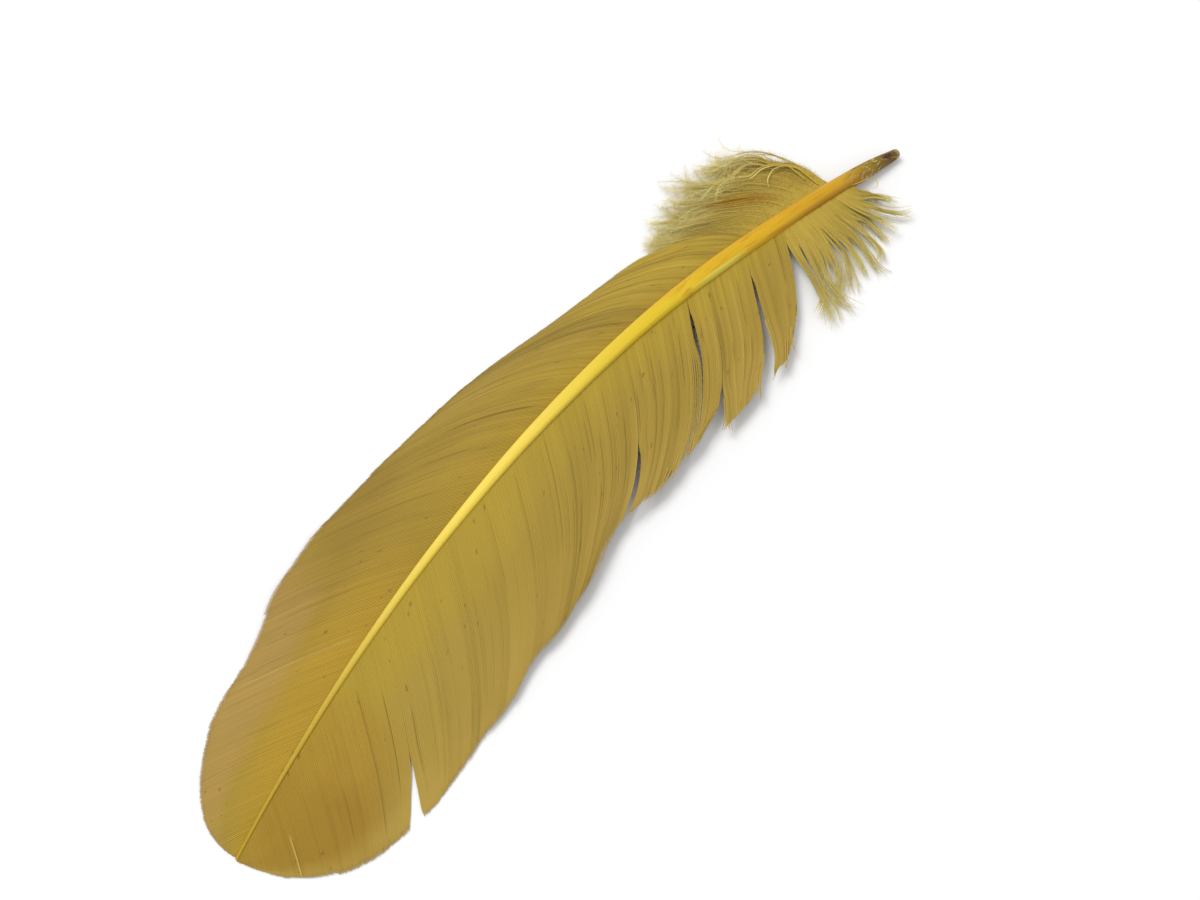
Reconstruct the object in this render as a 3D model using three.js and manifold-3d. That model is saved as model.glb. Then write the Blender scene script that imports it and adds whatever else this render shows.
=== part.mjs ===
// A goose quill feather, dyed golden yellow, lying with its upper side up on a flat surface.
// It grew as one piece and is one solid: a shaft, a wide inner vane, a narrower outer vane,
// and a tuft of loose downy locks on each side of the quill, all fused to the shaft.
//
// Units are millimetres, +Z up. A point of the feather is given by its station, measured along
// the shaft from the end of the quill, and by its distance across, square to the shaft:
// positive in the inner vane, negative in the outer one.
import * as THREE from "three";
import { mergeVertices } from "three/addons/utils/BufferGeometryUtils.js";
import Module from "manifold-3d";

// The shaft.
const SHAFT_LENGTH = 300;
const SHAFT_BEND_RADIUS = 545;
const SHAFT_SIDES = 12;
const SHAFT_STEP = 7.5;
const SHAFT_WIDTH = [
  [0, 4.6], [14, 5.3], [40, 6.2], [60, 6.1], [80, 5.8], [120, 4.8], [160, 3.85], [200, 2.8], [250, 1.75],
  [300, 0.75],
];
// How far the shaft strays from its arc, towards the inner vane where positive. Points this
// far out in the vanes and beyond keep their place.
const SHAFT_STRAY = [
  [60, 0], [100, 0.2], [140, 0.6], [180, 0], [220, -1.1], [250, -1.5], [280, -1.3], [300, -0.9],
];
const STRAY_REACH = 20;
const RACHIS_HEIGHT_SHARE = 0.92; // of its width, past the round quill
const QUILL_DOME = [[0, 0.45], [0.9, 0.76], [2.4, 0.94]]; // share of the full section near the blunt end
const QUILL_FLAT = [4, 12]; // the stations between which the quill lies on the surface

// How the feather lies: the shaft arches over the surface and comes down to it at both ends.
const ARCH_HEIGHT = 8;
const ARCH_STATIONS = [12, 278];
// The share of the shaft's height at which the vanes grow from it.
const VANE_LEVEL_SHARE = [[230, 0.62], [272, 0.25]];
const DROOP_POWER = 1.6;

// The vanes. Widths are square to the shaft; each tip is rounded from its own station on.
const SHEET_THICK_AT_SHAFT = 0.8;
const SHEET_THICK_AT_MARGIN = 0.5;
const SHEET_SEGMENTS = 5;
const LOCK_RIDGE = [[235, 0.22], [270, 0]];
const LOCK_TOOTH = 0.018; // share of the vane's width
const INNER_VANE = {
  side: 1,
  roots: [51.2, 299],
  locks: 27,
  width: [
    [62, 23.5], [71, 27.2], [80, 33], [88, 36.7], [98, 37.6], [118, 39.2], [129, 36.9], [150, 37.9],
    [167, 35.8], [185, 39.4], [205, 40.1], [217, 38.8], [230, 40], [245, 38.6], [262, 38.8], [300, 38.8],
  ],
  tipRounding: { from: 235, to: 300.2, power: 2.6 },
  angleAtShaft: [[50, 60], [66, 57], [90, 53], [150, 54], [250, 45], [290, 46], [299, 14]],
  angleAtMargin: [
    [50, 46], [66, 40], [76, 32], [100, 22], [120, 14], [150, 17], [220, 27], [265, 35], [290, 42], [299, 12],
  ],
  bendPower: 2.3,
  marginHeight: [[50, 3], [110, 4.2], [170, 4.5], [225, 2], [262, 0.2], [300, 0.2]],
};
const OUTER_VANE = {
  side: -1,
  roots: [61.5, 299],
  locks: 26,
  width: [
    [60, 23.5], [85, 21.6], [95, 22.6], [120, 24.3], [150, 28.6], [160, 29.9], [175, 30.8],
    [200, 32.5], [217, 33.5], [235, 31.6], [250, 28], [262, 26.9], [300, 26.9],
  ],
  tipRounding: { from: 262, to: 299.5, power: 2 },
  angleAtShaft: [[60, 58], [120, 57], [170, 49], [240, 44], [290, 42], [299, 14]],
  angleAtMargin: [[60, 18], [110, 14], [150, 20], [236, 33], [290, 36], [299, 12]],
  bendPower: 1.3,
  marginHeight: [[50, 2.5], [95, 0.2], [195, 0.2], [235, 1.2], [268, 0.2], [300, 0.2]],
};

// Where the barbs of the inner vane have come apart. Each opening is a row of distances
// across, with the stations of its two edges there.
const SPLITS = [
  [
    [8.8, 72.6, 72.8], [16.7, 77.9, 78.6], [21.5, 80.9, 82.1], [26, 84, 85.8],
    [30.9, 87.1, 91.1], [34.6, 90.5, 97.4], [38.8, 96.3, 103], [44, 102, 110],
  ],
  [
    [29.7, 108.8, 109.1], [31.8, 111.2, 112.6], [34, 113.3, 116.1], [35.2, 114.6, 120.9],
    [36.7, 116.3, 127.6], [40.6, 120.2, 135], [44, 123, 139],
  ],
  [[5.9, 97.7, 97.9], [10.1, 100.9, 101.6], [15, 104.7, 105.6], [20.4, 109.2, 109.4]],
  [
    [25, 142.9, 143.1], [27.6, 145.7, 146.7], [31.4, 151.2, 153.2], [33.3, 154.8, 157.4],
    [34.7, 158.3, 161.1], [35.6, 161.8, 164.1], [36.1, 165.4, 166],
  ],
  [
    [24.6, 255.8, 256], [28.2, 260.4, 261.2], [30.4, 263, 265.4], [33, 266.1, 270.3],
    [34.4, 267.9, 273.4], [38, 271.6, 279], [44, 277.6, 287],
  ],
];
const SPLIT_STEPS = 11;
const CUT_HEIGHT = 20;

// The loose locks by the quill: the station of the root, [station, across] of the bend and of
// the tip, and the height of the tip.
const LOCK_WIDTH = 3.8;
const LOCK_TIP_WIDTH = 0.8;
const LOCK_THICK = 0.7;
const LOCK_SEGMENTS = 7;
const INNER_LOCKS = [
  { root: 49.5, bend: [55, 20], tip: [64.5, 38.4], height: 3.0 },
  { root: 47, bend: [58, 22], tip: [56, 38.5], height: 2.1 },
  { root: 45, bend: [46, 21], tip: [57, 34], height: 2.8 },
  { root: 43, bend: [39.5, 22], tip: [53, 35], height: 1.9 },
  { root: 40, bend: [37, 19], tip: [43.5, 32], height: 1.3 },
  { root: 37.5, bend: [35, 18], tip: [37, 34.5], height: 2.3 },
  { root: 35.5, bend: [28.5, 19], tip: [36.5, 30.5], height: 1.5 },
  { root: 33, bend: [26, 14], tip: [27, 26.5], height: 2.0 },
  { root: 31, bend: [25.5, 13], tip: [22, 24.5], height: 1.4 },
  { root: 29, bend: [23, 16], tip: [14.5, 22.5], height: 1.8 },
  { root: 27, bend: [22, 9], tip: [15.2, 16.5], height: 1.2 },
];
const OUTER_LOCKS = [
  { root: 29.5, bend: [30, -22], tip: [51, -29.5], height: 1.6 },
  { root: 31.5, bend: [33, -23.5], tip: [58, -33], height: 2.5 },
  { root: 34, bend: [38, -22], tip: [63.5, -30], height: 1.4 },
  { root: 37.5, bend: [45, -19], tip: [66.5, -29.3], height: 2.2 },
  { root: 41, bend: [50, -18], tip: [71.5, -28.6], height: 1.2 },
  { root: 44.5, bend: [56, -17], tip: [76, -28.2], height: 2.0 },
  { root: 48.5, bend: [61, -16], tip: [81, -26.6], height: 1.3 },
  { root: 52.5, bend: [65, -14], tip: [84, -23.5], height: 1.9 },
  { root: 56.5, bend: [69, -12.5], tip: [86, -20.5], height: 1.1 },
];

// Joining the solids leaves slivers narrower than this, which are smoothed away.
const SLIVER = 0.01;

// The point of the surface under the middle of the feather, which is the origin.
const ORIGIN = { x: 148.26, y: -11.57 };

const wasm = await Module();
wasm.setup();

// A smooth curve through [x, y] knots that never overshoots them.
function through(knots) {
  const slopes = knots.slice(1).map(([x, y], i) => (y - knots[i][1]) / (x - knots[i][0]));
  const tangents = knots.map((_, i) => {
    const before = slopes[Math.max(i - 1, 0)];
    const after = slopes[Math.min(i, slopes.length - 1)];
    return before * after > 0 ? (2 * before * after) / (before + after) : 0;
  });
  return (at) => {
    const x = Math.min(Math.max(at, knots[0][0]), knots.at(-1)[0]);
    const i = Math.max(knots.findIndex((knot) => knot[0] >= x), 1) - 1;
    const span = knots[i + 1][0] - knots[i][0];
    const t = (x - knots[i][0]) / span;
    const rise = knots[i + 1][1] - knots[i][1];
    return (
      knots[i][1] +
      rise * t * t * (3 - 2 * t) +
      span * (tangents[i] * t * (1 - t) * (1 - t) - tangents[i + 1] * t * t * (1 - t))
    );
  };
}

const shaftWidth = through(SHAFT_WIDTH);
const shaftStray = through(SHAFT_STRAY);
const quillDome = through([...QUILL_DOME, [QUILL_FLAT[0], 1]]);
const halfBend = SHAFT_LENGTH / SHAFT_BEND_RADIUS / 2;
const halfChord = SHAFT_BEND_RADIUS * Math.sin(halfBend);

// The point at a station, a distance across and a height.
function place(station, across, height) {
  const turn = station / SHAFT_BEND_RADIUS - halfBend;
  const stray = shaftStray(station) * Math.max(1 - Math.abs(across) / STRAY_REACH, 0);
  const radius = SHAFT_BEND_RADIUS - across - stray;
  const x = halfChord + radius * Math.sin(turn);
  const y = SHAFT_BEND_RADIUS * Math.cos(halfBend) - radius * Math.cos(turn);
  return new THREE.Vector3(x - ORIGIN.x, y - ORIGIN.y, height);
}

// Height of the shaft's underside.
function archHeight(station) {
  const [start, end] = ARCH_STATIONS;
  const t = Math.min(Math.max((station - start) / (end - start), 0), 1);
  return (ARCH_HEIGHT * (1 - Math.cos(2 * Math.PI * t))) / 2;
}

// Height of the shaft itself: the quill is round, and the rachis a little flatter.
function shaftHeight(station) {
  const roundness = 1 - (1 - RACHIS_HEIGHT_SHARE) * Math.min(station / INNER_VANE.roots[0], 1);
  return shaftWidth(station) * roundness;
}

function vaneLevel(station) {
  return archHeight(station) + through(VANE_LEVEL_SHARE)(station) * shaftHeight(station);
}

// A closed mesh of rings of points, each ring with the same even number of points. A ring runs
// anticlockwise as seen by someone who looks back from the last ring to the first, and its
// first half lies opposite its second half.
function loft(rings) {
  const sides = rings[0].length;
  const points = rings.flat();
  const faces = [];
  for (let r = 0; r + 1 < rings.length; r++) {
    for (let i = 0; i < sides; i++) {
      const a = r * sides + i;
      const b = r * sides + ((i + 1) % sides);
      faces.push(a, b, b + sides, a, b + sides, a + sides);
    }
  }
  const last = (rings.length - 1) * sides;
  for (let i = 0; i + 1 < sides / 2; i++) {
    const [a, b, c, d] = [i, i + 1, sides - 2 - i, sides - 1 - i];
    faces.push(a, c, b, a, d, c);
    faces.push(last + a, last + b, last + c, last + a, last + c, last + d);
  }
  const geometry = new THREE.BufferGeometry().setFromPoints(points);
  return geometry.setIndex(faces);
}

function solidOf(geometry) {
  const bare = new THREE.BufferGeometry().setAttribute("position", geometry.getAttribute("position"));
  if (geometry.index) bare.setIndex(geometry.index);
  const merged = mergeVertices(bare, 1e-5);
  return new wasm.Manifold(
    new wasm.Mesh({
      numProp: 3,
      vertProperties: new Float32Array(merged.getAttribute("position").array),
      triVerts: new Uint32Array(merged.index.array),
    }),
  );
}

// The shaft: many-sided sections whose lowest side is flat, so that the quill can lie on it.
function shaftGeometry() {
  const stations = [...QUILL_DOME.map((knot) => knot[0]), ...QUILL_FLAT];
  for (let s = QUILL_FLAT[1] + SHAFT_STEP; s < SHAFT_LENGTH - 1; s += SHAFT_STEP) stations.push(s);
  stations.push(SHAFT_LENGTH);
  const flatShare = Math.cos(Math.PI / SHAFT_SIDES);
  return loft(
    stations.map((s) => {
      const full = shaftHeight(s) / 2;
      const size = s < QUILL_FLAT[0] ? quillDome(s) : 1;
      const ring = [];
      for (let i = 0; i < SHAFT_SIDES; i++) {
        const turn = ((2 * i + 1) * Math.PI) / SHAFT_SIDES - Math.PI / 2;
        const across = (size * (shaftWidth(s) / 2) * Math.cos(turn)) / flatShare;
        const up = (size * full * Math.sin(turn)) / flatShare;
        ring.push(place(s, across, archHeight(s) + full + up));
      }
      return ring;
    }),
  );
}

// A vane's width square to the shaft, as a function of the station.
function vaneWidth(vane) {
  const { from, to, power } = vane.tipRounding;
  const width = through(vane.width);
  return (station) => {
    const t = Math.min(Math.max((station - from) / (to - from), 0), 1);
    return width(station) * (1 - t ** power) ** (1 / power);
  };
}

// The path of the barb that grows from a root station: its [station, across] at each even
// share of the way from the shaft to the margin.
function barbPath(vane, root, segments) {
  const step = 0.2;
  const width = vaneWidth(vane);
  const startAngle = through(vane.angleAtShaft)(root);
  const endAngle = through(vane.angleAtMargin)(root);
  const walked = [[root, 0]];
  let [station, across] = walked[0];
  let share = 0;
  while (share < 1 && station < SHAFT_LENGTH) {
    share = across / Math.max(width(station), step);
    const bent = Math.min(share, 1) ** vane.bendPower;
    const angle = THREE.MathUtils.degToRad(startAngle + (endAngle - startAngle) * bent);
    station += (step * Math.cos(angle)) / (1 - (vane.side * across) / SHAFT_BEND_RADIUS);
    across += step * Math.sin(angle);
    walked.push([station, across]);
  }
  return Array.from({ length: segments + 1 }, (_, i) => {
    const [a, b] = walked[Math.round((i / segments) * (walked.length - 1))];
    return [a, vane.side * b];
  });
}

// Height of the middle of a vane's sheet.
function vaneHeight(vane, station, across) {
  const share = Math.min(Math.abs(across) / Math.max(vaneWidth(vane)(station), 1), 1);
  const level = vaneLevel(Math.min(station, SHAFT_LENGTH));
  const margin = through(vane.marginHeight)(station);
  return level + (margin - level) * share ** DROOP_POWER;
}

// A vane: one sheet, thinner towards its margin, whose barbs cling in locks. Each lock rises
// a little towards the tip and stands out a little at the margin. The sheet never goes under
// the surface that the feather lies on.
function vaneGeometry(vane) {
  const [first, last] = vane.roots;
  const pitch = (last - first) / vane.locks;
  const rings = [];
  for (let lock = 0; lock < vane.locks; lock++) {
    for (const part of [0.03, 0.55, 1]) {
      const path = barbPath(vane, first + (lock + part) * pitch, SHEET_SEGMENTS);
      const upper = [];
      const lower = [];
      path.forEach(([station, across], i) => {
        const share = i / SHEET_SEGMENTS;
        const reach = 1 + LOCK_TOOTH * (part - 0.5) * share;
        const thick = SHEET_THICK_AT_SHAFT + (SHEET_THICK_AT_MARGIN - SHEET_THICK_AT_SHAFT) * share;
        const ridge = through(LOCK_RIDGE)(station) * part * share;
        const middle = vaneHeight(vane, station, across) + ridge;
        const floor = Math.max(middle - thick / 2, 0);
        lower.push(place(station, across * reach, floor));
        upper.push(place(station, across * reach, Math.max(middle + thick / 2, floor + thick)));
      });
      const ring = [...lower, ...upper.reverse()];
      rings.push(vane.side > 0 ? ring : ring.reverse());
    }
  }
  return loft(rings);
}

// The opening to cut where barbs have come apart, as an upright prism.
function splitGeometry(opening) {
  const near = through(opening.map(([across, station]) => [across, station]));
  const far = through(opening.map(([across, , station]) => [across, station]));
  const [start, end] = [opening[0][0], opening.at(-1)[0]];
  const nearSide = [];
  const farSide = [];
  for (let i = 0; i <= SPLIT_STEPS; i++) {
    const across = start + ((end - start) * i) / SPLIT_STEPS;
    nearSide.push(place(near(across), across, 0));
    farSide.push(place(far(across), across, 0));
  }
  const corners = [...nearSide, ...farSide.reverse()].map(({ x, y }) => new THREE.Vector2(x, y));
  const prism = { depth: CUT_HEIGHT, bevelEnabled: false };
  return new THREE.ExtrudeGeometry(new THREE.Shape(corners), prism).translate(0, 0, -1);
}

// One loose lock: a flat blade that bends from its root in the shaft to its tip.
function lockGeometry({ root, bend, tip, height }) {
  const curve = new THREE.QuadraticBezierCurve(
    new THREE.Vector2(root, 0),
    new THREE.Vector2(...bend),
    new THREE.Vector2(...tip),
  );
  const side = Math.sign(tip[1]);
  const level = vaneLevel(root);
  const rings = [];
  for (let i = 0; i <= LOCK_SEGMENTS; i++) {
    const t = i / LOCK_SEGMENTS;
    const at = curve.getPoint(t);
    const along = curve.getTangent(t);
    const half = (LOCK_WIDTH * (1 - t ** 3) + LOCK_TIP_WIDTH * t ** 3) / 2;
    const middle = level + (height - level) * t ** 1.2;
    const low = middle - LOCK_THICK / 2;
    const left = [at.x - along.y * half * side, at.y + along.x * half * side];
    const right = [at.x + along.y * half * side, at.y - along.x * half * side];
    const ring = [
      place(...left, low),
      place(...right, low),
      place(...right, low + LOCK_THICK),
      place(...left, low + LOCK_THICK),
    ];
    rings.push(side > 0 ? ring.reverse() : ring);
  }
  return loft(rings);
}

function featherGeometry() {
  const shaft = solidOf(shaftGeometry());
  const outerVane = solidOf(vaneGeometry(OUTER_VANE));
  let innerVane = solidOf(vaneGeometry(INNER_VANE));
  for (const opening of SPLITS) innerVane = innerVane.subtract(solidOf(splitGeometry(opening)));
  let feather = shaft.add(outerVane).add(innerVane);
  for (const lock of [...INNER_LOCKS, ...OUTER_LOCKS]) feather = feather.add(solidOf(lockGeometry(lock)));
  const mesh = feather.asOriginal().simplify(SLIVER).getMesh();
  const geometry = new THREE.BufferGeometry();
  geometry.setAttribute("position", new THREE.BufferAttribute(new Float32Array(mesh.vertProperties), 3));
  geometry.setIndex(new THREE.BufferAttribute(new Uint32Array(mesh.triVerts), 1));
  geometry.computeVertexNormals();
  return geometry;
}

const dyedFeather = new THREE.MeshStandardMaterial({ color: 0xb3993f, roughness: 0.6, metalness: 0 });
const feather = new THREE.Mesh(featherGeometry(), dyedFeather);
feather.name = "feather";

const group = new THREE.Group();
group.add(feather);
export default group;
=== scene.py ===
"""A goose quill feather, dyed golden yellow, lying with its upper side up.

The shaft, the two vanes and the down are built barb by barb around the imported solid. A point
of the feather is given by its station, in millimetres along the shaft from the end of the
quill, and by its distance across, square to the shaft: positive in the inner vane, negative
in the outer one. Heights are in millimetres above the surface it lies on.
"""

import logging
import math
from collections.abc import Mapping, Sequence
from dataclasses import dataclass, field
from enum import Enum

import bpy
import numpy as np
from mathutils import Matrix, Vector


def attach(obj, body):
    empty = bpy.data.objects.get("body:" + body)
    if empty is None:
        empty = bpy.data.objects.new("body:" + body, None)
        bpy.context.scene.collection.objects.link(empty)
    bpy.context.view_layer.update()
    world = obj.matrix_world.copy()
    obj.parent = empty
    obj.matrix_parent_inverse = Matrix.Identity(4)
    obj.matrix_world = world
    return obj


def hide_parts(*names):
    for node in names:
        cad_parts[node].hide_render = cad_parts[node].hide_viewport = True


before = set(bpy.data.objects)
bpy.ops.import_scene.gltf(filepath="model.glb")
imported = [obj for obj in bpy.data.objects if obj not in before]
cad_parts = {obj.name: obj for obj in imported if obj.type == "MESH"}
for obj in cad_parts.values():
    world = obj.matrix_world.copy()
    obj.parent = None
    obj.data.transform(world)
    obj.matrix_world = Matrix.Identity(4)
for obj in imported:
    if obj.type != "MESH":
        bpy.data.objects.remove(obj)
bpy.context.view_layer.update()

LOG = logging.getLogger("feather")
MM = 0.001
NODE = "feather"
BODY = "root"
MIDDLE = 0.5  # the middle value of a noise
RIBBON_RISE = 0.15  # how far a ribbon's middle stands out, as a share of its width
RIDGE = 1  # the rail of a barb's ribbon that is its ridge
TINY = 1e-6  # the least length that a direction is divided by
END_SLACK = 0.001  # the part of a step by which a barb stops before its last point

Band = tuple[float, float]
Colour = tuple[float, float, float]
Points = tuple[tuple[float, float], ...]


class Side(Enum):
    """The side of the shaft that a piece grows on."""

    INNER = 1
    OUTER = -1


def srgb(red: int, green: int, blue: int) -> Colour:
    """Turns a colour as a screen shows it into the renderer's linear values.

    Args:
        red: the red part, 0 to 255.
        green: the green part, 0 to 255.
        blue: the blue part, 0 to 255.

    Returns:
        The three linear values, 0 to 1.
    """

    def linear(part: int) -> float:
        """Undoes the screen's curve for one part."""
        share = part / 255
        return share / 12.92 if share <= 0.04045 else ((share + 0.055) / 1.055) ** 2.4

    return linear(red), linear(green), linear(blue)


def smooth(share: np.ndarray | float) -> np.ndarray | float:
    """Eases a share from 0 to 1, flat at both ends and beyond them."""
    share = np.clip(share, 0.0, 1.0)
    return share * share * (3 - 2 * share)


def ease(value: np.ndarray | float, band: Band) -> np.ndarray | float:
    """Eases from 0 where a value is at a band's start to 1 where it is at its end."""
    return smooth((value - band[0]) / (band[1] - band[0]))


class Profile:
    """A smooth curve through knots that never overshoots them."""

    def __init__(self, *knots: tuple[float, float]) -> None:
        """Keeps the knots and works out the slope at each.

        Args:
            knots: pairs of position and value, with the positions rising.
        """
        self.at, self.value = np.array(knots, dtype=float).T
        rise = np.diff(self.value) / np.diff(self.at)
        before = np.concatenate([rise[:1], rise])
        after = np.concatenate([rise, rise[-1:]])
        same_way = before * after > 0
        total = np.where(same_way, before + after, 1.0)
        self.slope = np.where(same_way, 2 * before * after / total, 0.0)

    def __call__(self, position: np.ndarray | float) -> np.ndarray:
        """Gives the curve's value, level beyond the first and last knots.

        Args:
            position: one position or an array of them.

        Returns:
            The value at each position.
        """
        x = np.clip(position, self.at[0], self.at[-1])
        i = np.clip(np.searchsorted(self.at, x, side="right") - 1, 0, len(self.at) - 2)
        span = self.at[i + 1] - self.at[i]
        t = (x - self.at[i]) / span
        rise = self.value[i + 1] - self.value[i]
        bulge = self.slope[i] * t * (1 - t) ** 2 - self.slope[i + 1] * t * t * (1 - t)
        return self.value[i] + rise * t * t * (3 - 2 * t) + span * bulge


# Materials.


class Signal:
    """A shader socket that carries a value and can be used in sums and products."""

    def __init__(self, paint: "Paint", socket: bpy.types.NodeSocket) -> None:
        """Wraps a socket.

        Args:
            paint: the material that the socket is in.
            socket: the socket.
        """
        self.paint = paint
        self.socket = socket

    def _math(self, operation: str, first: object, second: object) -> "Signal":
        """Adds one Math node."""
        return self.paint.add("ShaderNodeMath", {"operation": operation}, {0: first, 1: second})

    def __add__(self, other: object) -> "Signal":
        """Adds."""
        return self._math("ADD", self, other)

    def __radd__(self, other: object) -> "Signal":
        """Adds, with the plain number first."""
        return self._math("ADD", other, self)

    def __sub__(self, other: object) -> "Signal":
        """Subtracts."""
        return self._math("SUBTRACT", self, other)

    def __rsub__(self, other: object) -> "Signal":
        """Subtracts from a plain number."""
        return self._math("SUBTRACT", other, self)

    def __mul__(self, other: object) -> "Signal":
        """Multiplies."""
        return self._math("MULTIPLY", self, other)

    def __rmul__(self, other: object) -> "Signal":
        """Multiplies, with the plain number first."""
        return self._math("MULTIPLY", other, self)

    def ease(self, low: float, high: float) -> "Signal":
        """Eases from 0 at one value to 1 at another.

        Args:
            low: the value that gives 0.
            high: the value that gives 1.

        Returns:
            The eased signal.
        """
        return self.paint.add(
            "ShaderNodeMapRange",
            {"interpolation_type": "SMOOTHSTEP"},
            {"Value": self, "From Min": low, "From Max": high},
        )


@dataclass(frozen=True)
class Tint:
    """A cloudy patch of another colour."""

    station: float  # the station of its middle
    share: float  # the share of the way to the margin at which its middle lies
    length: float  # how far it reaches along the feather, in millimetres
    breadth: float  # how far it reaches across, as a share of the way to the margin
    colour: Colour
    depth: float  # how strongly it shows, 0 to 1


@dataclass(frozen=True)
class Wash:
    """A colour laid over those before it."""

    colour: Colour
    depth: float  # how strongly it shows at most, 0 to 1
    # Names of readings, each with the value at which none of the wash shows and the one at which it
    # shows in full. All of them have to let it show.
    bands: tuple[tuple[str, Band], ...]


@dataclass(frozen=True)
class Grain:
    """A noise over the feather."""

    along: float  # how fine it is along the feather
    across: float  # how fine it is across it
    layer: float  # a number of its own, so that no two noises are alike
    detail: float  # how many finer layers it has


class Paint:
    """A material under construction, around one Principled shader."""

    patch_wander: float = 1.6  # how far clouds move the edge of a tinted patch
    patch_edge: Band = (0.0, 1.4)  # the distances between which a patch fades out, 1 at its own reach

    def __init__(self, name: str) -> None:
        """Makes an empty material.

        Args:
            name: the material's name.
        """
        self.material = bpy.data.materials.new(name)
        self.material.use_nodes = True
        self.tree = self.material.node_tree
        self.tree.nodes.clear()
        self.shader = self.tree.nodes.new("ShaderNodeBsdfPrincipled")
        output = self.tree.nodes.new("ShaderNodeOutputMaterial")
        self.tree.links.new(self.shader.outputs["BSDF"], output.inputs["Surface"])

    def _feed(self, socket: bpy.types.NodeSocket, value: object) -> None:
        """Links a signal to a socket, or sets a plain value on it."""
        if isinstance(value, Signal):
            self.tree.links.new(value.socket, socket)
        elif isinstance(value, tuple) and len(value) == 3 and socket.type == "RGBA":
            socket.default_value = (*value, 1.0)
        else:
            socket.default_value = value

    def add(
        self,
        kind: str,
        settings: Mapping[str, object] | None = None,
        inputs: Mapping[int | str, object] | None = None,
        output: int | str = 0,
    ) -> Signal:
        """Adds a node, sets its options, then feeds its sockets.

        Args:
            kind: the node's type.
            settings: options by name.
            inputs: plain values or signals, by socket.
            output: the output to use.

        Returns:
            The signal at that output.
        """
        node = self.tree.nodes.new(kind)
        for name, value in (settings or {}).items():
            setattr(node, name, value)
        for name, value in (inputs or {}).items():
            self._feed(node.inputs[name], value)
        return Signal(self, node.outputs[output])

    def attribute(self, name: str) -> Signal:
        """Reads a number that the mesh stores at each point."""
        settings = {"attribute_type": "GEOMETRY", "attribute_name": name}
        return self.add("ShaderNodeAttribute", settings, output="Fac")

    def noise(self, place: Signal, scale: float, detail: float = 2.0) -> Signal:
        """Adds a noise that runs from 0 to 1 about the middle value.

        Args:
            place: where the noise is read.
            scale: how many times finer than one unit it is.
            detail: how many finer layers it has.

        Returns:
            The noise.
        """
        inputs = {"Vector": place, "Scale": scale, "Detail": detail}
        return self.add("ShaderNodeTexNoise", None, inputs, output="Fac")

    def grain(self, grain: Grain, along: Signal, across: Signal) -> Signal:
        """Adds a noise that may be finer one way than the other.

        Args:
            grain: how fine it is.
            along: where it is read along the feather or from barb to barb.
            across: where it is read across the feather or around the shaft.

        Returns:
            The noise.
        """
        inputs = {0: along * grain.along, 1: across * grain.across, 2: grain.layer}
        return self.noise(self.add("ShaderNodeCombineXYZ", None, inputs), 1.0, grain.detail)

    def blend(self, share: object, under: object, over: object) -> Signal:
        """Lays one colour over another.

        Args:
            share: how much of the upper colour shows, 0 to 1.
            under: the lower colour.
            over: the upper colour.

        Returns:
            The mixed colour.
        """
        settings = {"data_type": "RGBA", "blend_type": "MIX", "clamp_factor": True}
        return self.add("ShaderNodeMix", settings, {0: share, 6: under, 7: over}, output=2)

    def wash(self, colour: object, washes: Sequence[Wash], readings: Mapping[str, Signal]) -> Signal:
        """Lays washes over a colour.

        Args:
            colour: the colour under them.
            washes: the washes, from the lowest one up.
            readings: the signals that their bands are for, by name.

        Returns:
            The colour with the washes.
        """
        for wash in washes:
            shows = wash.depth
            for reading, band in wash.bands:
                shows = readings[reading].ease(*band) * shows
            colour = self.blend(shows, colour, wash.colour)
        return colour

    def tint(
        self, colour: Signal, patches: Sequence[Tint], station: Signal, share: Signal, clouds: Signal
    ) -> Signal:
        """Lays cloudy patches of other colours over a colour.

        Args:
            colour: the colour under them.
            patches: the patches.
            station: each point's station.
            share: its share of the way to the margin.
            clouds: the noise that breaks up the patches' edges.

        Returns:
            The colour with the patches.
        """
        for patch in patches:
            along = (station - patch.station) * (1 / patch.length)
            out = (share - patch.share) * (1 / patch.breadth)
            far = along * along + out * out + (clouds - MIDDLE) * self.patch_wander
            colour = self.blend((1.0 - far.ease(*self.patch_edge)) * patch.depth, colour, patch.colour)
        return colour

    def dim(self, colour: Signal, amount: object) -> Signal:
        """Scales a colour by a number."""
        return self.add("ShaderNodeVectorMath", {"operation": "SCALE"}, {0: colour, "Scale": amount})

    def finish(self, colour: Signal, roughness: object, relief: Signal, depth: float, gloss: float) -> None:
        """Feeds the shader.

        Args:
            colour: the colour.
            roughness: the roughness.
            relief: the height that gives the surface its relief.
            depth: how deep that relief is, in metres.
            gloss: how strongly the whole surface reflects.
        """
        self._feed(self.shader.inputs["Base Color"], colour)
        self._feed(self.shader.inputs["Roughness"], roughness)
        bump = self.add("ShaderNodeBump", None, {"Distance": depth, "Height": relief})
        self._feed(self.shader.inputs["Normal"], bump)
        self.shader.inputs["Specular IOR Level"].default_value = gloss


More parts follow.
